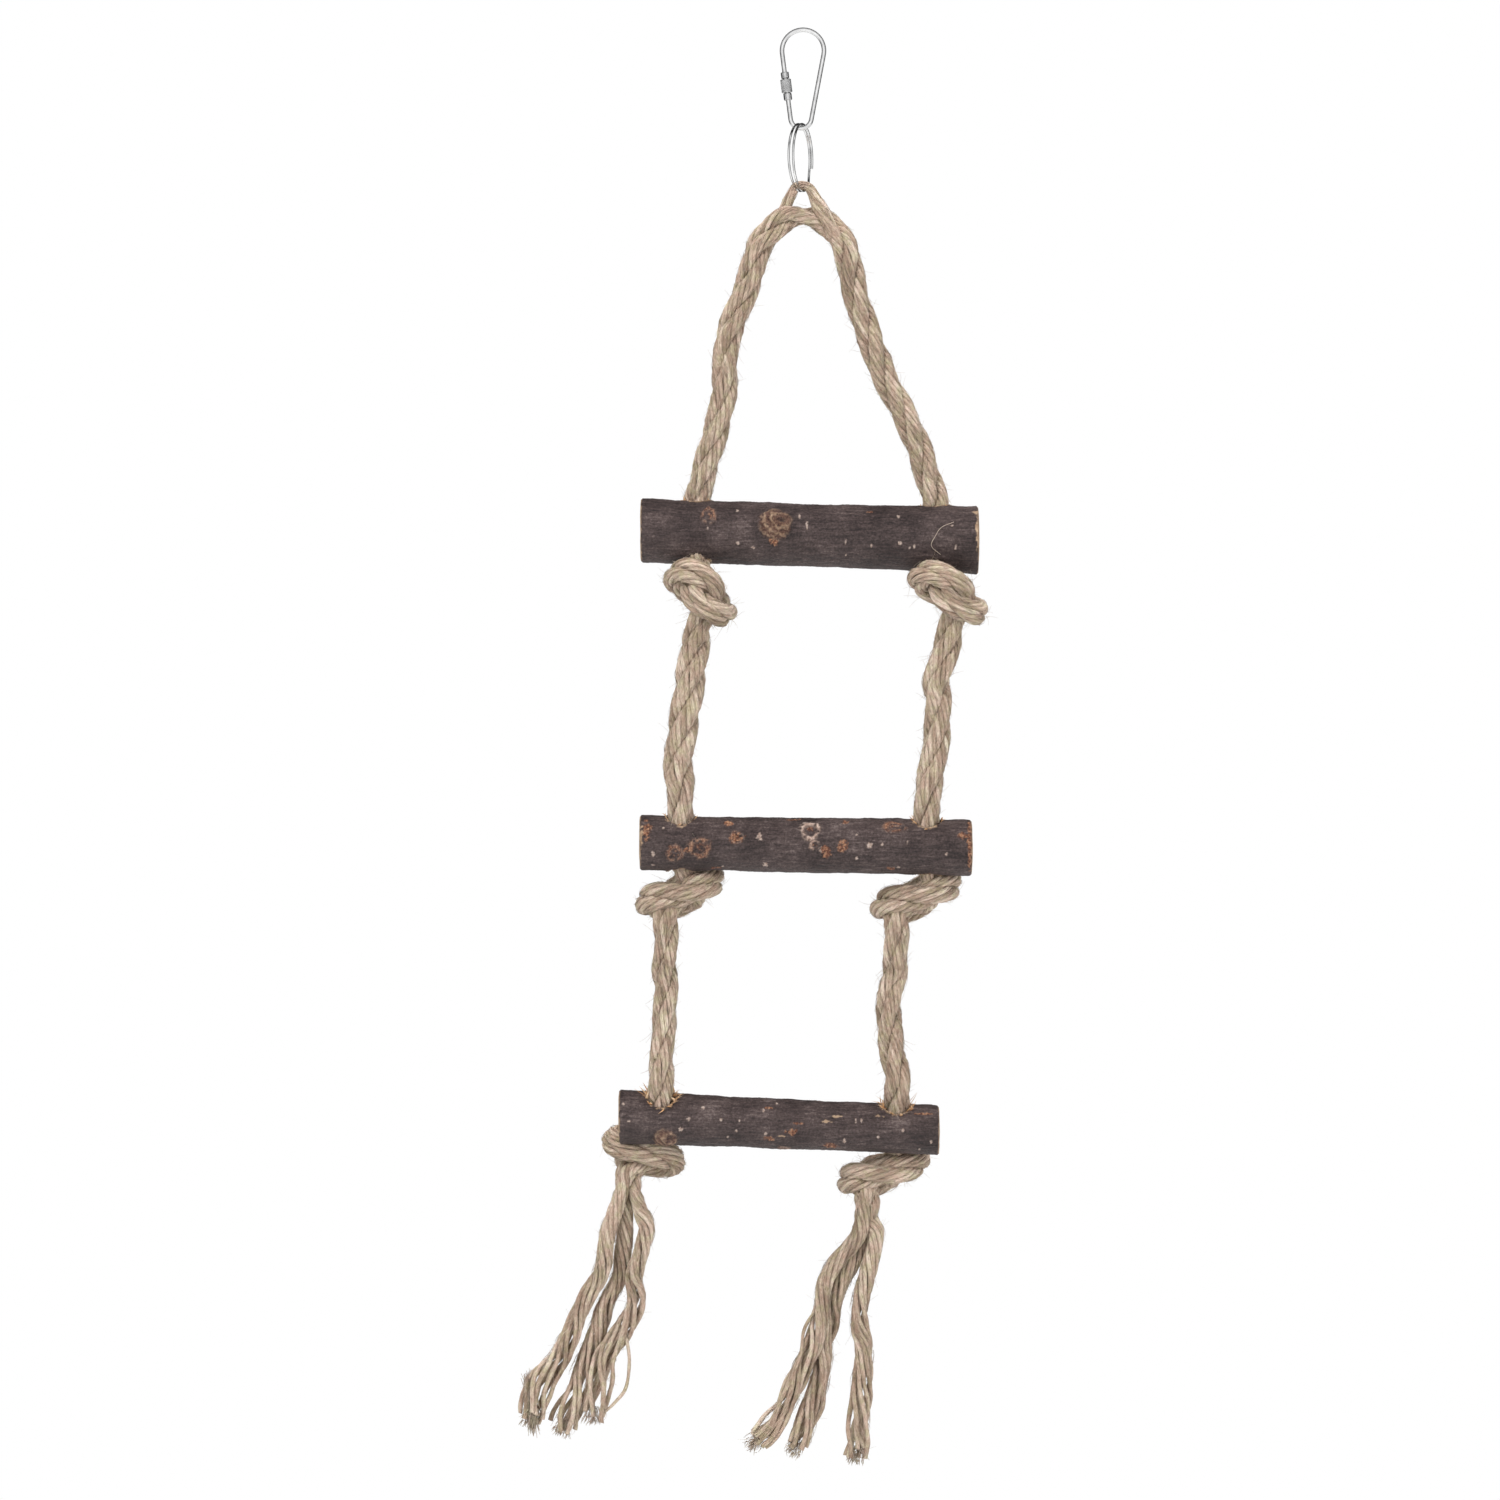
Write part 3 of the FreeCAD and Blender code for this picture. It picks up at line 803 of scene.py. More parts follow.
def rope_piece(name, first, last, skip=None, hairs=1.5, tuck=0):
    """The rope between two of its points; tuck runs a thinner end on, so that an open joint stays shut."""
    rows = rows_between(first, last)
    size = np.ones(len(rows))
    extra, shrink = np.arange(1, 5) * ROWS, np.array([0.93, 0.88, 0.84, 0.80])
    if tuck > 0:
        rows, size = np.r_[rows, rows[-1] + extra], np.r_[size, shrink]
    elif tuck < 0:
        rows, size = np.r_[rows[0] - extra[::-1], rows], np.r_[shrink[::-1], size]
    soup = Soup()
    add_rope(soup, rows, skip, hairs, size)
    return soup.make(name, JUTE)


def build_leg(side):
    """Every laid stretch of one leg, cut where the frame bends."""
    label, way = SIDES[side], DOWN[side]

    def row(point, ahead):
        return ROPE.near(point, side) + way * steps(ahead)

    def above(point, reach):
        return (point + [0, 0, reach]) * MM

    f1, r1 = spot(FOLD_1, side), spot(RACK_1, side)
    h2, f2, r2 = spot(HOLD_2, side), spot(FOLD_2, side), spot(RACK_2, side)
    h3, t1 = spot(HOLD_3, side), np.array(TASSEL_TOP[side], float)
    knots = ROPE.knot_top[side]
    leg = rope_piece("rope_leg_" + label, ROPE.middle + way * steps(CROWN_REACH), knots[0])
    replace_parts(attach(leg, "rope_fold"), label + "_leg")
    knot = rope_piece("rope_knot_top_" + label, knots[0], row(f1, -FOLD_REACH), hairs=2.6)
    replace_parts(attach(knot, "rope_fold"), "knot_top_" + label)
    levels = (
        ("upper", "rope_fold", "upper_necks", f1, r1, h2, "middle", knots[1], f2),
        ("lower", "middle_hold", "lower_necks", f2, r2, h3, "bottom", knots[2], t1),
    )
    for name, holder, necks, fold, rack, hold, level, knot_top, next_fold in levels:
        span, next_holder = "%s_%s_span" % (name, label), level + "_hold"
        bend = rope_piece("rope_fold_%s_%s" % (name, label), row(fold, -FOLD_REACH), row(rack, -RACK_REACH))
        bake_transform(bend)
        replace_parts(bend, "neck_%s_%s" % (name, label))
        bend = rope_piece("rope_rack_%s_%s" % (name, label), row(rack, -RACK_REACH), row(rack, RACK_REACH))
        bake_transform(bend)
        foot = row(hold, 0) if side else row(hold, -RACK_REACH)
        head, tuck = row(rack, RACK_REACH), way if side else 0
        run = rope_piece("rope_span_%s_%s" % (name, label), head, foot, tuck=tuck)
        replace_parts(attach(run, span), "span_%s_%s" % (name, label))
        if not side:
            bend = rope_piece("rope_level_%s_%s" % (level, label), foot, row(hold, LEVEL_REACH))
            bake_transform(bend)
            foot = row(hold, LEVEL_REACH)
        stub = rope_piece("rope_stub_%s_%s" % (level, label), foot, knot_top)
        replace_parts(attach(stub, next_holder), "stub_%s_%s" % (level, label))
        foot = row(next_fold, -FOLD_REACH)
        knot = rope_piece("rope_knot_%s_%s" % (level, label), knot_top, foot, hairs=2.2)
        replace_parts(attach(knot, next_holder), "knot_%s_%s" % (level, label))


def build_crown():
    """The two strands of the crown and the one lifted through the ring."""
    low, high = ROPE.middle - steps(CROWN_REACH), ROPE.middle + steps(CROWN_REACH)
    crown = rope_piece("rope_crown_pair", low, high, skip=0, hairs=0.5)
    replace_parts(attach(crown, "rope_fold"), "rope_crown")
    low, high = low // ROWS * ROWS, high // ROWS * ROWS
    ends = ROPE.strand(0, np.array([low - 3 * ROWS, low, high, high + 3 * ROWS]))
    pivot, wide, tall = np.array([-0.3, 0, -64.6]), 3.8, 3.3
    turns = np.radians([155, 120, 90, 60, 25])
    arch = [pivot + np.array([wide * math.cos(a), 0, tall * math.sin(a)]) for a in turns]
    points = [ends[0], ends[1], (-6.8, 0.4, -69.6)] + arch + [(6.0, -0.8, -69.0), ends[2], ends[3]]
    rope = ROPE.run
    run = transport(resample(catmull(points, 16), RING_STEP), rope.side[low])
    s = np.arange(len(run.line)) * RING_STEP
    slip = math.atan2(rope.side[high] @ run.up[-1], rope.side[high] @ run.side[-1])
    share = s / s[-1]
    facing = ROPE.facing(0, low) * (1 - share) + (ROPE.facing(0, high) + slip) * share
    phase = ROPE.yarn_phase[low] * (1 - share) + (ROPE.yarn_phase[high] + slip) * share
    laid = smoothstep(1 - np.minimum(s, s[-1] - s) / 7)
    size = 0.97 - 0.30 * hump(share, 0.5, 0.14) - 0.08 * hump(share, 0.27, 0.1)
    size = size + 0.20 * hump(share, 0.77, 0.1)
    soup = Soup()
    add_strand(soup, run, s + ROPE.s[low], 0, facing, phase, laid=laid, open_r=1.7, size=size)
    add_hairs(soup, run, 12, 9, outer=2.6, long=4.0)
    obj = soup.make("rope_lifted_strand", JUTE)
    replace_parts(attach(obj, "rope_fold"), "lifted_strand")


# ---------------------------------------------------------------- tassels


# runs of the unlaid strands below each bottom knot
TASSELS = (
    [
        [(-75.8, 8, -474), (-78.4, 8, -481), (-80.4, 8, -494), (-86.4, 8, -508), (-92.6, 8, -519),
         (-99.0, 8, -532), (-105.0, 8, -543), (-109.0, 8, -557)],
        [(-71.6, 13, -474), (-72.2, 14, -486), (-74.2, 14, -499), (-79.6, 13, -512), (-82.4, 13, -522),
         (-87.6, 13, -534), (-92.0, 12, -546), (-97.0, 12, -561)],
        [(-65.2, 10, -472), (-62.6, 9, -479), (-64.8, 9, -488), (-67.0, 9, -498), (-66.8, 9, -508),
         (-71.4, 9, -519), (-78.0, 9, -530), (-82.2, 10, -542), (-85.6, 10, -556)],
    ],
    [
        [(22.2, 9, -482), (12.8, 9, -494), (8.0, 9, -505), (6.6, 9, -516), (3.4, 9, -527), (-1.6, 9, -538),
         (-7.2, 9, -551), (-13.4, 9, -560), (-20.4, 9, -567)],
        [(24.4, 13, -483), (17.6, 13, -496), (13.4, 13, -507), (12.0, 13, -516), (8.8, 13, -527),
         (7.0, 13, -539), (2.6, 13, -552), (-4.4, 12, -569)],
        [(29.6, 10, -481), (26.8, 10, -494), (22.7, 10, -506), (21.9, 10, -518), (25.0, 10, -530),
         (24.0, 10, -544), (23.2, 10, -558), (21.3, 10, -572)],
    ],
)
# how far each side's strands splay at their ends
SPLAY = (0.75, 0.45)
# on each side, the strand that a yarn has come away from, and the yarn's way points
LOOSE_YARNS = (
    (2, [(-72.0, 8, -519), (-70.4, 7, -525), (-69.6, 7, -533), (-71.0, 7, -543), (-75.4, 8, -549),
         (-79.6, 9, -553)]),
    (0, [(4.6, 7, -512), (0.4, 6, -520), (-0.8, 6, -529), (-4.8, 6, -540), (-10.6, 7, -551)]),
)
# a splayed yarn end: side, strand, top and bottom
BRUSH = (0, 0, (-109.4, 7, -542.0), (-108.4, 7, -556.0))


def match(starts, runs):
    """Gives each strand the run that begins nearest to it, without sharing."""
    order, free = [], [0, 1, 2]
    for start in starts:
        best = min(free, key=lambda k: np.linalg.norm(np.array(runs[k][0]) - start))
        free.remove(best)
        order.append(best)
    return order


def hanging_strand(side, number, points):
    """A strand's run from the end of the laid rope through the points, wavering as it hangs."""
    end, way = ENDS[side], DOWN[side]
    first_side, first_up = ROPE.run.side[end], ROPE.run.up[end]
    before, start = ROPE.strand(number, np.array([end - way * 2 * ROWS, end]))
    line = resample(catmull([before, start] + points, 20), RING_STEP)
    line = line[int(np.argmin(np.linalg.norm(line - start, axis=1))):]
    line[0] = start
    s = np.arange(len(line)) * RING_STEP
    amount = (0.9 * smoothstep(s / s[-1] * 3))[:, None]
    run = transport(line, first_side)
    line = line + run.side * wander(s, 11, 300 + number)[:, None] * amount
    line = line + run.up * wander(s, 12, 310 + number + side * 5)[:, None] * amount
    run = transport(line, first_side)
    ease = smoothstep(s / 5)[:, None]
    run.side = unit(first_side * (1 - ease) + run.side * ease)
    run.up = unit(first_up * (1 - ease) + run.up * way * ease)
    return run, s


def unlaid(side, number, s):
    """How a strand's yarns lie as it opens out below the knot, as the values that add_strand takes."""
    end, way = ENDS[side], DOWN[side]
    t = s / s[-1]
    return dict(
        s=ROPE.s[end] + way * s,
        facing=ROPE.facing(number, end) + way * 0.02 * s,
        phase=ROPE.yarn_phase[end] + number - way * (0.17 * s - 0.0006 * s**2),
        laid=1 - smoothstep(s / 14),
        open_r=OPEN_R * (1 + SPLAY[side] * smoothstep((t - 0.35) / 0.65)),
        size=1 + 0.06 * smoothstep(t * 5),
        stray=0.9 * smoothstep((t - 0.1) / 0.4) + 0.9 * smoothstep((t - 0.6) / 0.4),
    )


def part_of(values, rows):
    return {key: value[rows] for key, value in values.items()}


def build_tassel(side):
    """The unlaid strands open out from the last knot; one mesh bends at the knot and three below it."""
    label, way, end = SIDES[side], DOWN[side], ENDS[side]
    rng = np.random.default_rng(40 + side)
    top, pivot = np.array(TASSEL_TOP[side], float), np.array(TASSEL_LOW[side], float)
    cut = (top[2] + pivot[2]) / 2
    neck = Soup()
    add_rope(neck, rows_between(ROPE.near(top, side) - way * steps(FOLD_REACH), end))
    starts = [ROPE.strand(number, np.array([end]))[0] for number in range(STRANDS)]
    for number, place in enumerate(match(starts, TASSELS[side])):
        run, s = hanging_strand(side, number, TASSELS[side][place])
        yarns = unlaid(side, number, s)
        tip = rng.integers(0, int(6 / RING_STEP), YARNS + 1)
        split = int(np.argmax(run.line[:, 2] < cut))
        above, below = slice(0, split + 1), slice(split, len(s))
        add_strand(neck, run[above], number=number, **part_of(yarns, above))
        soup = Soup()
        add_strand(soup, run[below], number=number, tip=tip, **part_of(yarns, below))
        add_hairs(soup, run[below], 110, 70 + number + side * 10, outer=2.9)
        add_frayed_tip(soup, run, rng)
        strand, points = LOOSE_YARNS[side]
        if place == strand:
            add_loose_yarn(soup, points, 90 + side)
        if (side, place) == BRUSH[:2]:
            add_brush(soup, np.array(BRUSH[2]), np.array(BRUSH[3]), rng)
        obj = soup.make("rope_tassel_%s_%d" % (label, place + 1), JUTE)
        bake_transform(obj)
        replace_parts(obj, "tassel_%s_strand_%d" % (label, place + 1))
    obj = neck.make("rope_tassel_neck_" + label, JUTE)
    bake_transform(obj)
    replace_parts(obj, "tassel_neck_" + label)


def add_loose_yarn(soup, points, seed):
    """One yarn that has come away from its strand."""
    run = transport(resample(catmull(points), RING_STEP), BACK)
    s = np.arange(len(run.line)) * RING_STEP
    radius = YARN_R * 0.75 * (1 + 0.12 * wander(s, 4, seed)) * (0.5 + 0.5 * smoothstep(s / 6))
    soup.tube(run.line, run, radius, s, 0.55 + 0.3 * wander(s, 7, seed + 1), cap=True)


def add_brush(soup, top, low, rng):
    """A yarn end splayed flat into a ragged brush between two points."""
    way = unit(low - top)
    for _ in range(520):
        share = rng.uniform(0, 1)
        start = top + (low - top) * share + np.array([rng.normal(0, 0.9), rng.normal(0, 0.7), 0])
        toward_end = 1 if rng.uniform(0, 1) < 0.25 + 0.5 * share else -1
        length = rng.uniform(3, 7.5)
        lean = np.array([rng.normal(-0.05, 0.13), rng.normal(0, 0.12), 0])
        curl = np.array([rng.normal(0, 0.08), rng.normal(0, 0.08), 0])
        add_fibre(soup, start, length * (way * toward_end + lean), length * curl, 0.26, rng.uniform(0.5, 1.0))


def add_frayed_tip(soup, run, rng):
    """Short fine fibres standing out of a strand's cut end."""
    for _ in range(150):
        row = len(run.line) - 1 - int(rng.integers(0, int(7 / RING_STEP)))
        out = unit(run.outward(rng.uniform(0, TURN), row))
        root = run.line[row] + out * rng.uniform(0, 3.6)
        length = rng.uniform(0.8, 2.8)
        way = run.tangent[row] + out * rng.uniform(-0.1, 0.5)
        curl = out * rng.normal(0, 0.25) + np.cross(run.tangent[row], out) * rng.normal(0, 0.25)
        add_fibre(soup, root, length * way, length * curl, 0.20, rng.uniform(0.4, 1.0))


# ---------------------------------------------------------------- rungs


# marks on the front of each rung as (x, height above the axis, half width, half height)
MARKS = {
    "rung_top": dict(
        dots=[(-26.2, 8.7, 0.8, 0.6), (-1.5, 7.0, 0.5, 0.9), (1.4, 3.2, 0.5, 1.5),
              (-26.2, -4.4, 0.7, 0.8), (-19.9, -5.7, 0.9, 0.5), (17.0, -2.7, 0.4, 1.0),
              (27.1, -3.6, 0.4, 1.0), (38.3, -2.6, 0.7, 0.8), (44.1, -3.7, 0.4, 1.0),
              (42.4, -4.4, 0.6, 0.6), (37.8, 8.1, 0.7, 0.7), (59.1, 5.1, 0.7, 0.5),
              (60.6, -3.7, 0.5, 0.9), (-38.0, 1.5, 0.6, 0.8), (17.0, -8.0, 0.3, 0.6)],
        scars=[(26.7, 9.7, 1.2, 0.5), (-11.5, -3.5, 1.8, 1.2), (-41.0, -11.0, 0.5, 0.5)],
        rings=[(-37.6, 6.4, 2.8, 3.7, 0.25)],
        stubs=[(-11.2, 3.8, 6.6, 1.6)],
        bare=[(69.4, 4.0, 0.8, 8.0), (68.8, 11.0, 1.8, 1.2)]),
    "rung_middle": dict(
        dots=[(-55.7, 6.1, 0.5, 0.6), (-59.8, -4.4, 0.8, 1.1), (-59.8, -8.5, 0.7, 0.6),
              (-15.0, -7.8, 0.9, 1.0), (21.3, 4.6, 0.5, 0.6), (26.4, 0.3, 1.1, 1.3),
              (21.3, -4.8, 0.7, 0.7), (56.9, -2.8, 0.7, 0.8), (-32.0, -9.0, 0.5, 0.5),
              (7.0, -2.0, 1.2, 0.9), (-17.5, 3.3, 1.3, 1.5), (41.5, 2.0, 0.3, 0.9),
              (38.0, -8.0, 0.9, 0.7), (31.5, 0.8, 0.6, 0.6)],
        scars=[(-29.6, 8.0, 1.6, 1.3), (-26.7, 2.7, 2.6, 1.8), (17.0, 9.4, 1.5, 0.9),
               (34.9, -8.5, 1.6, 0.9), (63.5, 4.8, 1.6, 1.4), (9.2, -2.1, 2.6, 2.4),
               (15.5, -0.2, 2.0, 2.2), (-62.6, 5.0, 1.6, 4.0), (-4.0, 10.0, 2.4, 0.7),
               (-46.4, -2.4, 1.6, 1.0), (66.4, 2.0, 0.9, 9.0), (-35.0, -9.6, 1.8, 0.7)],
        rings=[(-51.1, -4.0, 3.2, 3.3, 0.2), (-41.2, -1.4, 4.2, 4.0, 0.2), (36.6, 7.6, 4.4, 2.6, 0.1),
               (2.9, 6.0, 3.6, 4.2, 1.0), (4.6, 0.2, 2.4, 1.8, 0.8), (-26.5, 2.6, 2.6, 2.4, 0.4)],
        stubs=[],
        bare=[(-64.6, 3.0, 1.0, 5.0)]),
    "rung_bottom": dict(
        dots=[(-45.8, 1.0, 0.7, 0.8), (-48.8, -3.3, 0.9, 1.0), (-39.9, 5.5, 0.6, 0.7),
              (-32.7, 1.2, 0.5, 0.7), (-25.4, 1.0, 0.4, 0.6), (-15.8, 5.6, 0.4, 1.0),
              (-26.6, -3.2, 0.5, 0.6), (-30.1, -5.7, 0.6, 0.6), (-15.1, -3.8, 0.6, 0.8),
              (-10.5, 8.1, 0.5, 0.5), (-69.7, -0.9, 0.7, 0.5), (-71.7, 5.7, 0.5, 0.6),
              (23.2, 3.3, 0.4, 0.9), (16.4, -5.2, 0.6, 1.1), (29.9, -3.0, 0.6, 0.6),
              (39.8, 0.2, 0.5, 0.9), (51.0, -3.9, 0.5, 0.9), (46.4, -7.6, 0.5, 0.7), (21.0, 3.0, 0.3, 0.9)],
        scars=[(-4.5, -2.5, 2.2, 1.2), (-13.2, -5.9, 2.4, 1.0), (11.1, -7.8, 2.6, 1.4),
               (-14.0, 6.5, 1.6, 0.4), (-2.0, 1.0, 1.8, 0.4), (47.6, 6.8, 3.4, 0.5)],
        rings=[(-7.7, -9.0, 2.4, 1.2, 0.7)],
        stubs=[(-55.0, -7.6, 5.0, 1.8)],
        bare=[(9.7, 2.4, 1.9, 0.7), (13.2, 4.4, 2.4, 0.5), (-9.0, -4.4, 1.8, 0.4), (30.0, 5.2, 2.2, 0.5)]),
}

# points of a rung's bark along it and round it, rings of its sawn faces, and sides and half length of a drill
BARK_GRID = ((470, 240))
FACE_RINGS = 14
DRILL_SIDES = 48
DRILL_REACH = 22.0


def rung_axis(rung, x):
    left, right = np.array(rung["left"], float), np.array(rung["right"], float)
    return left + (right - left) * ((x - left[0]) / (right[0] - left[0]))[..., None]


def rung_radius(rung, x):
    left, right = rung["left"][0], rung["right"][0]
    u = 2 * (x - left) / (right - left) - 1
    a, m, b = rung["radii"]
    return m + (b - a) / 2 * u + ((a + b) / 2 - m) * u * u


class Bark:
    """The bark of one rung, as a grid along it and round it of heights and of pale, rusty and bare marks."""

    def __init__(self, rung, seed):
        nx, nt = BARK_GRID
        left, right = rung["left"][0], rung["right"][0]
        u = np.linspace(0, 1, nx)[:, None] * np.ones((1, nt))
        v = np.arange(nt)[None, :] / nt * np.ones((nx, 1))
        self.rung = rung
        self.x = left + (right - left) * u
        self.theta = v * TURN
        self.radius = rung_radius(rung, self.x)
        self.edge = np.minimum(u, 1 - u) * (right - left)
        self.height = -0.7 * (1 - smoothstep(self.edge / 0.9)) ** 2
        bumps = ((0.34, 8, 5), (0.18, 26, 11), (0.11, 50, 50), (0.09, 80, 120), (0.06, 300, 100))
        for number, (tall, along, around) in enumerate(bumps):
            self.height += tall * lattice(u, v, along, around, seed + number)
        self.rough = lattice(u, v, 260, 130, seed + 5)
        self.coarse = lattice(u, v, 110, 60, seed + 6)
        self.pale, self.rust, self.bare = (np.zeros((nx, nt)) for _ in range(3))

    def oval(self, x, z, wide, tall, behind=False):
        """Distance from a mark's centre, which is one at its rim, and the angle about that centre."""
        r = rung_radius(self.rung, x)
        angle = math.asin(max(-0.99, min(0.99, z / r)))
        angle = math.pi - angle if behind else angle
        turn = (self.theta - angle + math.pi) % TURN - math.pi
        along, around = (self.x - x) / wide, turn * r / tall
        return np.hypot(along, around), np.arctan2(around, along)

    def add_dots(self, marks):
        """Small raised pale dots."""
        for mark in marks:
            d, _ = self.oval(*mark)
            dot = smoothstep((1.12 + 0.45 * self.rough + 0.25 * self.coarse - d) / 0.55)
            self.height += 0.18 * dot
            self.pale = np.maximum(self.pale, 0.72 * dot)

    def add_scars(self, marks):
        """Rusty, cracked patches."""
        for mark in marks:
            d, _ = self.oval(*mark)
            patch = smoothstep((1.15 + 0.5 * self.coarse + 0.3 * self.rough - d) / 0.4)
            self.height += patch * (0.15 + 0.22 * self.rough + 0.25 * self.coarse)
            self.rust = np.maximum(self.rust, patch * smoothstep(0.8 + 0.6 * self.rough))

    def add_rings(self, marks):
        """Raised rims round a rusty core; a mark's last number is how pale its rim is."""
        for x, z, wide, tall, paleness in marks:
            d, a = self.oval(x, z, wide, tall)
            d = d * (1 + 0.22 * self.coarse + 0.07 * np.sin(3 * a + x))
            rim, core = hump(d, 0.86, 0.22), smoothstep((0.62 - d) / 0.3)
            self.height += 0.5 * rim - 0.25 * core + 0.35 * core * self.coarse
            rusty = rim * smoothstep(0.72 + 0.7 * self.coarse + 0.3 * np.sin(a + x)) * (1 - 0.75 * paleness)
            middle = 0.8 * core * smoothstep(0.25 + 0.8 * self.rough + 0.9 * self.coarse)
            self.rust = np.maximum(self.rust, np.maximum(rusty, middle))
            whitish = paleness * rim * smoothstep(0.75 + 0.9 * self.coarse + 0.4 * self.rough)
            self.pale = np.maximum(self.pale, whitish)

    def add_stubs(self, marks):
        """Feet of cut side branches, with a swirl of grain round a small hole."""
        for x, z, size, rise in marks:
            d, a = self.oval(x, z, size, size)
            d = d * (1 + 0.10 * self.coarse)
            inside = smoothstep((1.1 - d) / 0.35)
            from_hole, _ = self.oval(x + 0.42 * size, z + 0.2 * size, size, 0.75 * size)
            hole = hump(from_hole, 0, 0.2)
            swirl = np.sin(from_hole * 13 + 1.5 * self.coarse + 0.8 * np.sin(2 * a))
            self.height += rise * smoothstep((1.25 - d) / 0.9) + 0.30 * swirl * inside - 1.8 * hole
            wood = inside * smoothstep(0.18 + 0.6 * swirl + 0.5 * self.rough) * (1 - hole) * 0.6
            self.bare = np.maximum(self.bare, wood)
            self.rust = np.maximum(self.rust, inside * 0.30 * (1 - hole))

    def add_bare(self, marks):
        """Patches where the bark is rubbed off, and the edges of both sawn ends."""
        for mark in marks:
            d, _ = self.oval(*mark)
            patch = smoothstep((1.0 + 0.5 * self.coarse + 0.3 * self.rough - d) / 0.35)
            self.height -= 0.15 * patch
            self.bare = np.maximum(self.bare, patch * 0.85)
        worn = smoothstep((0.5 + 0.3 * self.coarse - self.edge) / 0.35) * 0.8
        self.bare = np.maximum(self.bare, worn)

    def add_holes(self):
        """Torn wood round both ends of each hole."""
        up = hole_up(self.rung["lean"])
        for point in self.rung["holes"]:
            rel = self.points(0.0) - np.array(point)
            away = np.linalg.norm(rel - (rel @ up)[..., None] * up, axis=-1)
            torn = smoothstep((6.5 + 1.0 * self.coarse + 0.5 * self.rough - away) / 0.8)
            self.height += torn * (0.25 + 0.35 * self.rough) - 0.5 * smoothstep((5.9 - away) / 0.6)
            self.bare = np.maximum(self.bare, torn * 0.9)

    def points(self, height):
        """The grid's points at a height above the wood."""
        outward = np.stack([np.zeros_like(self.x), -np.cos(self.theta), np.sin(self.theta)], -1)
        return rung_axis(self.rung, self.x) + outward * (self.radius + height)[..., None]


def build_rung(name, seed):
    """A branch: bark over a tapering core, marked and drilled."""
    rung, listed = RUNGS[name], MARKS[name]
    left, right = rung["left"][0], rung["right"][0]
    rng = np.random.default_rng(seed + 9)
    behind = [(rng.uniform(left + 4, right - 4), rng.uniform(-9, 9), 0.5, 0.8, True) for _ in range(26)]
    bark = Bark(rung, seed)
    bark.add_dots(listed["dots"] + behind)
    bark.add_scars(listed["scars"])
    bark.add_rings(listed["rings"])
    bark.add_stubs(listed["stubs"])
    bark.add_bare(listed["bare"])
    bark.add_holes()
    obj = closed_branch(name, bark, seed)
    for point in rung["holes"]:
        drill(obj, rung, np.array(point, float))
    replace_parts(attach(obj, rung["body"]), name)


def closed_branch(name, bark, seed):
    """The bark's mesh with a sawn face at each end."""
    nx, nt = BARK_GRID
    grid = bark.points(bark.height)
    marks = np.stack([bark.pale, bark.rust, bark.bare, np.ones_like(bark.pale)], -1)
    points, colours, faces = [grid.reshape(-1, 3)], [marks.reshape(-1, 4)], [grid_faces(nx, nt, flip=True)]
    base = nx * nt
    for end, row in ((0, 0), (1, nx - 1)):
        face, share = sawn_face(bark.rung, end, grid[row], seed)
        points.append(face)
        colours.append(np.stack([share, share, share, np.ones_like(share)], -1))
        faces.append(sawn_quads(row * nt, base, end))
        base += len(face)
    points, faces = np.vstack(points) * MM, np.vstack(faces)
    mesh = bpy.data.meshes.new(name + "_bark")
    mesh.from_pydata(points.tolist(), [], faces.tolist())
    mesh.materials.append(BARK)
    mesh.materials.append(RAW)
    sawn = np.arange(len(faces)) >= (nx - 1) * nt
    mesh.polygons.foreach_set("material_index", sawn.astype(np.int32))
    mesh.polygons.foreach_set("use_smooth", np.ones(len(faces), bool))
    attribute = mesh.attributes.new("marks", "FLOAT_COLOR", "POINT")
    attribute.data.foreach_set("color", np.vstack(colours).astype(np.float32).ravel())
    mesh.update()
    return add_object(name + "_bark", mesh)


def sawn_face(rung, end, rim, seed):
    """Points of a sawn face in rings toward its centre, and their share of the radius."""
    nt = len(rim)
    centre = np.array(rung["right" if end else "left"], float)
    outward = unit(np.array(rung["right"], float) - rung["left"]) * (1 if end else -1)
    points, shares = [], []
    for ring in range(1, FACE_RINGS):
        share = 1 - ring / FACE_RINGS
        wobble = 0.10 * lattice(np.full(nt, share), np.arange(nt) / nt, 9, 12, seed + 20 + end)
        swell = 0.15 * min(1.0, ring / 2) + wobble
        points.append(centre + (rim - centre) * share + outward * swell[:, None])
        shares.append(np.full(nt, share))
    return np.vstack(points + [centre + outward * 0.15]), np.r_[np.concatenate(shares), 0.0]


def sawn_quads(first, base, end):
    """Quads of a sawn face: first is its rim's first point, and base the first of its own rings."""
    nt = BARK_GRID[1]
    rows = np.r_[first + np.arange(nt), base + np.arange((FACE_RINGS - 1) * nt)]
    rings = rows[grid_faces(FACE_RINGS, nt, flip=bool(end))]
    tip = base + (FACE_RINGS - 1) * nt
    last, k = tip - nt, np.arange(0, nt, 2)
    fan = np.stack([last + k, np.full(len(k), tip), last + (k + 2) % nt, last + (k + 1) % nt], -1)
    return np.vstack([rings, fan if end else fan[:, ::-1]])


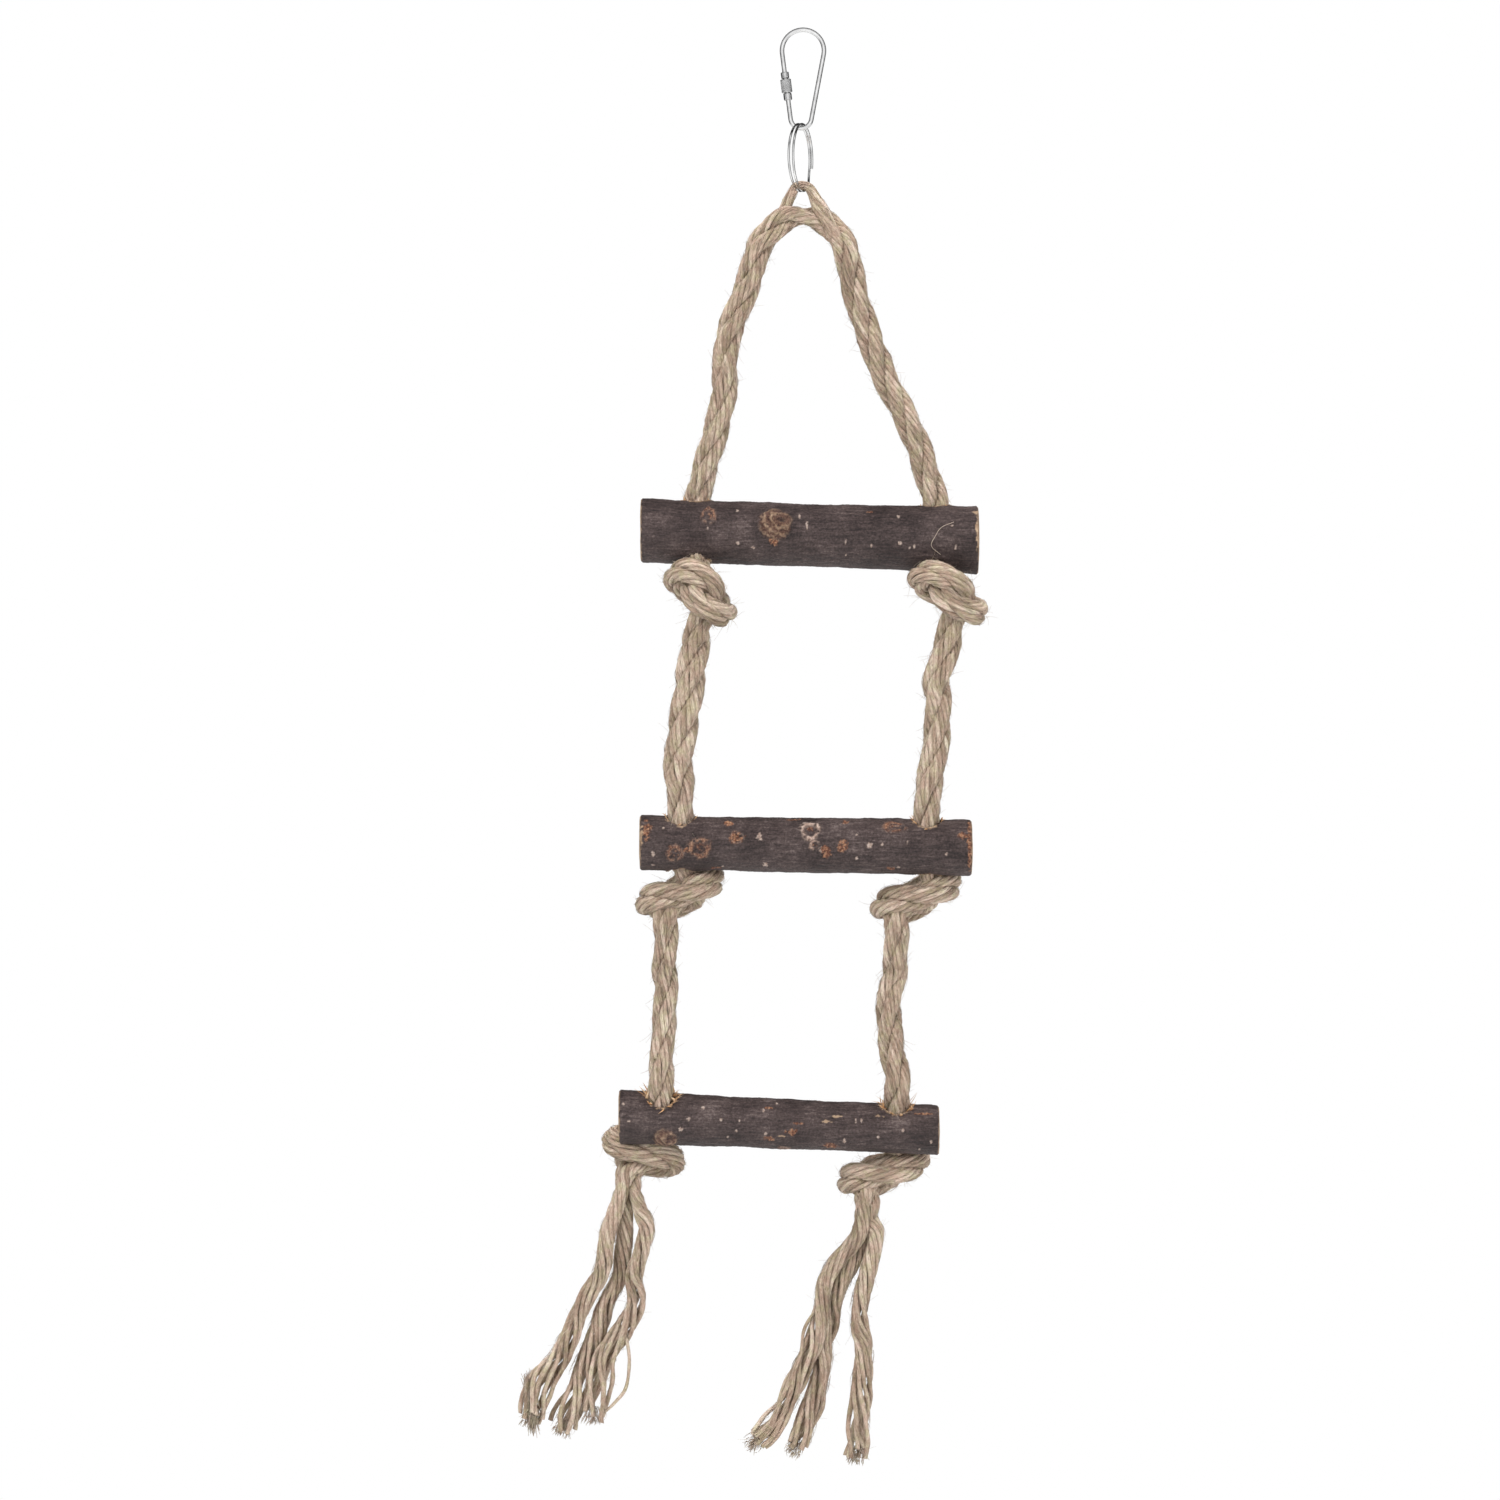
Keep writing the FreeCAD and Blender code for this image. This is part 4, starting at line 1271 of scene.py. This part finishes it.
def drill(obj, rung, point):
    """Cuts one rope hole and keeps its wall as raw wood."""
    up = hole_up(rung["lean"])
    middle = point - up * ((point - rung["left"]) @ up)
    a = np.arange(DRILL_SIDES) * TURN / DRILL_SIDES
    ring = (np.cos(a)[:, None] * RIGHT + np.sin(a)[:, None] * np.cross(up, RIGHT)) * DRILL_R
    points = np.vstack([middle - up * DRILL_REACH + ring, middle + up * DRILL_REACH + ring]) * MM
    faces = grid_faces(2, DRILL_SIDES).tolist()
    faces += [list(range(DRILL_SIDES))[::-1], list(range(DRILL_SIDES, 2 * DRILL_SIDES))]
    mesh = bpy.data.meshes.new("drill")
    mesh.from_pydata(points.tolist(), [], faces)
    mesh.materials.append(RAW)
    cutter = add_object("drill", mesh)
    cut = obj.modifiers.new("hole", "BOOLEAN")
    cut.operation = "DIFFERENCE"
    cut.solver = "EXACT"
    cut.material_mode = "TRANSFER"
    cut.object = cutter
    bpy.context.view_layer.update()
    drilled = bpy.data.meshes.new_from_object(obj.evaluated_get(bpy.context.evaluated_depsgraph_get()))
    obj.modifiers.remove(cut)
    obj.data = drilled
    bpy.data.objects.remove(cutter)


def splinters(name, side, count, size, seed):
    """Torn slivers of wood standing round a hole's upper mouth."""
    rung = RUNGS[name]
    rng = np.random.default_rng(seed)
    up = hole_up(rung["lean"])
    other = np.cross(up, RIGHT)
    point = np.array(rung["holes"][side], float)
    taper = np.array([1.0, 1.05, 0.95, 0.75, 0.45, 0.08])
    t = np.linspace(0, 1, len(taper))[:, None]
    soup = Soup()
    for _ in range(count):
        a = rng.uniform(0, TURN) if rng.random() > 0.6 else rng.choice([0.0, math.pi]) + rng.normal(0, 0.5)
        out = math.cos(a) * RIGHT + math.sin(a) * other
        rim = point + out * rng.uniform(5.5, 6.3)
        mid = rung_axis(rung, rim[0])
        rel = rim - mid
        r = rung_radius(rung, rim[0]) + rng.uniform(-0.4, 0.3)
        flat = rel[1:] - up[1:] * (rel[1:] @ up[1:])
        depth = math.sqrt(max(0.1, r * r - flat @ flat))
        root = mid + np.array([rel[0], flat[0], flat[1]]) + up * depth
        normal = unit((root - mid) * [0, 1, 1])
        length = size * rng.uniform(0.4, 1.0)
        way = out * rng.uniform(0.2, 1.0) + normal * rng.uniform(0.25, 1.0) + RIGHT * rng.normal(0, 0.4)
        curl = rng.normal(0, 0.35) * normal + rng.normal(0, 0.35) * RIGHT
        line = root - way * 0.5 + length * (way * t + curl * t**2)
        radius = rng.uniform(0.3, 0.75) * taper
        tint = np.clip(np.linspace(0.2, 0.8, len(taper)) + rng.normal(0, 0.18), 0, 1)
        run = transport(line, np.cross(way, normal) + 0.01)
        soup.tube(line, run, radius, t[:, 0], tint, sides=6, flat=0.28)
    obj = soup.make("%s_splinters_%s" % (name, SIDES[side]), SPLINTER)
    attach(obj, rung["body"])


def stray_fibre():
    """A long loose hair lying on the front of the top rung."""
    points = [
        (60.0, -12.6, -196.4), (55.0, -13.9, -198.6), (52.6, -14.0, -202.0), (51.0, -13.4, -206.0),
        (54.6, -12.4, -209.4),
    ]
    step = 0.6
    run = transport(resample(catmull(points), step), BACK)
    count = len(run.line)
    soup = Soup()
    soup.tube(run.line, run, np.full(count, 0.10), np.arange(count) * step, np.full(count, 0.9), sides=4)
    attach(soup.make("rung_top_stray_fibre", JUTE), "top_rung")


def build_rungs():
    for seed, name in zip((11, 23, 37), RUNGS):
        build_rung(name, seed)
    for side in (0, 1):
        splinters("rung_top", side, 8, 1.8, 71 + side)
        splinters("rung_middle", side, 12, 2.4, 61 + side)
        splinters("rung_bottom", side, 34, 4.2, 51 + side)
    stray_fibre()


# ---------------------------------------------------------------- metal


# lock nut: height of its low end on the carabiner, its length, its radii, the depth of its mouths,
# and the number of its ridges and how they turn along it
NUT_LOW = -24.2
NUT_LENGTH = 5.3
NUT_R = 2.15
NUT_FACE_R = 1.95
NUT_MOUTH_R = 1.78
NUT_BORE_R = 1.72
NUT_MOUTH = 0.4
NUT_RIDGES = 18
NUT_PITCH = 4.2


def carabiner_leg():
    """A point of the left leg's centre line, which touches both bends, and the unit vector up it."""
    top, top_r = np.array([0, 0, -7.5]), 8.4
    low, low_r = np.array([-0.8, 0, -34.3]), 4.2
    apart = top - low
    slope = math.asin((top_r - low_r) / np.linalg.norm(apart))
    angle = math.atan2(apart[0], apart[2]) - (math.pi / 2 + slope)
    out = np.array([math.sin(angle), 0, math.cos(angle)])
    foot = low + out * low_r
    return foot, unit(top + out * top_r - foot)


def build_nut():
    """The lock nut with its crossed knurling, as rings of points up its outside and down its bore."""
    foot, up = carabiner_leg()
    base = foot + up * ((NUT_LOW - foot[2]) / up[2])
    side = np.cross(up, BACK)
    other = np.cross(up, side)
    nt = 120
    a = np.arange(nt) * TURN / nt
    around = np.cos(a)[:, None] * side + np.sin(a)[:, None] * other
    profile = [(z, NUT_R, min(z, NUT_LENGTH - z)) for z in np.linspace(0, NUT_LENGTH, 60)]
    profile += [(NUT_LENGTH, NUT_FACE_R, 0), (NUT_LENGTH, NUT_MOUTH_R, 0)]
    profile += [(NUT_LENGTH - NUT_MOUTH, NUT_BORE_R, 0), (NUT_MOUTH, NUT_BORE_R, 0)]
    profile += [(0, NUT_MOUTH_R, 0), (0, NUT_FACE_R, 0)]
    rings = []
    for z, r, edge in profile:
        slants = (NUT_RIDGES / 2 * a + lean * z for lean in (NUT_PITCH, -NUT_PITCH))
        knurl = np.minimum(*(np.abs(np.sin(slant)) for slant in slants))
        depth = 0.16 * min(1.0, max(0.0, edge - 0.35) / 0.2)
        bevel = 0.22 * max(0.0, 1 - edge / 0.25) if r == NUT_R else 0.0
        reach = r - bevel - depth * (1 - np.sqrt(knurl))
        rings.append(base + up * z + reach[:, None] * around)
    points = np.vstack(rings)
    faces = grid_faces(len(rings) + 1, nt) % len(points)
    soup = Soup()
    soup.add(points, faces, np.zeros((len(faces) * 4, 2)), np.zeros(len(points)))
    obj = soup.make("knurled_nut", NUT, smooth=False)
    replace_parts(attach(obj, "nut"), "lock_nut")


def dress_metal():
    """Finishes for the CAD solids that stay in view."""
    finishes = {
        "carabiner_wire": WIRE, "split_ring": WIRE,
        "carabiner_upper_ferrule": NUT, "carabiner_lower_ferrule": NUT,
    }
    for name, finish in finishes.items():
        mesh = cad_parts[name].data
        mesh.materials.clear()
        mesh.materials.append(finish)
        for polygon in mesh.polygons:
            polygon.use_smooth = True


# ---------------------------------------------------------------- stage


# metres from here on; lamps as place, size and power
MIDDLE = (-0.02, 0, -0.29)
LAMPS = {
    "key": ((-0.9, -1.6, 0.75), 1.0, 30),
    "fill": ((1.3, -1.3, -0.1), 1.2, 13),
    "top": ((0.1, 0.1, 1.3), 1.0, 22),
    "back": ((0.3, 1.6, 0.1), 1.2, 10),
}
FLOOR_R = 2.4
FLOOR_Z = -1.15
CAMERA = (-0.0212, -2.5, -0.2872)
# light and dark cards that polished steel mirrors, from behind the camera (0) to beyond the ladder (1)
CARDS = [
    (0.0, 2.3), (0.09, 2.3), (0.14, 0.30), (0.20, 0.30), (0.25, 2.0), (0.35, 1.8), (0.46, 0.06), (1.0, 0.08),
]


def build_lamps():
    """Soft lamps aimed at the middle of the ladder, which polished steel doesn't mirror."""
    for name, (place, size, power) in LAMPS.items():
        data = bpy.data.lights.new(name, "AREA")
        data.size, data.energy = size, power
        lamp = add_object(name, data)
        lamp.location = place
        lamp.visible_glossy = False
        lamp.rotation_mode = "QUATERNION"
        lamp.rotation_quaternion = (Vector(MIDDLE) - Vector(place)).to_track_quat("-Z", "Y")


def build_floor():
    mesh = bpy.data.meshes.new("floor")
    turns = [TURN * k / 96 for k in range(96)]
    points = [(FLOOR_R * math.cos(a), FLOOR_R * math.sin(a), FLOOR_Z) for a in turns]
    mesh.from_pydata(points, [], [list(range(len(points)))])
    mesh.materials.append(pale_floor())
    add_object("floor", mesh)


def build_world():
    """White in view and dimmer as a light; polished steel mirrors cards that turn with the camera."""
    world = bpy.data.worlds.new("studio")
    world.use_nodes = True
    m = Nodes(world.node_tree)
    ray = m.new("LightPath").outputs
    way = m.new("SeparateXYZ", {0: m.new("TexCoord").outputs["Camera"]}).outputs["Z"]
    place = m.new("MapRange", {"Value": way, "From Min": -1.0}).outputs["Result"]
    level = m.new("MapRange", {"Value": ray["Is Camera Ray"], "To Min": 0.56, "To Max": 1.0})
    shown = m.tree.nodes["Background"].inputs
    m.feed(shown["Color"], m.mix(ray["Is Glossy Ray"], (1, 1, 1), m.ramp(place, CARDS)))
    m.feed(shown["Strength"], level.outputs["Result"])
    bpy.context.scene.world = world


def build_camera():
    data = bpy.data.cameras.new("camera")
    data.lens, data.sensor_width = 150, 36
    data.clip_start, data.clip_end = 0.05, 50
    camera = add_object("camera", data)
    camera.location = CAMERA
    camera.rotation_euler = (math.pi / 2, 0, 0)
    bpy.context.scene.camera = camera
    bpy.context.scene.view_settings.view_transform = "Standard"


for leg in (0, 1):
    build_leg(leg)
build_crown()
for leg in (0, 1):
    build_tassel(leg)
build_rungs()
build_nut()
dress_metal()
build_floor()
build_world()
build_lamps()
build_camera()
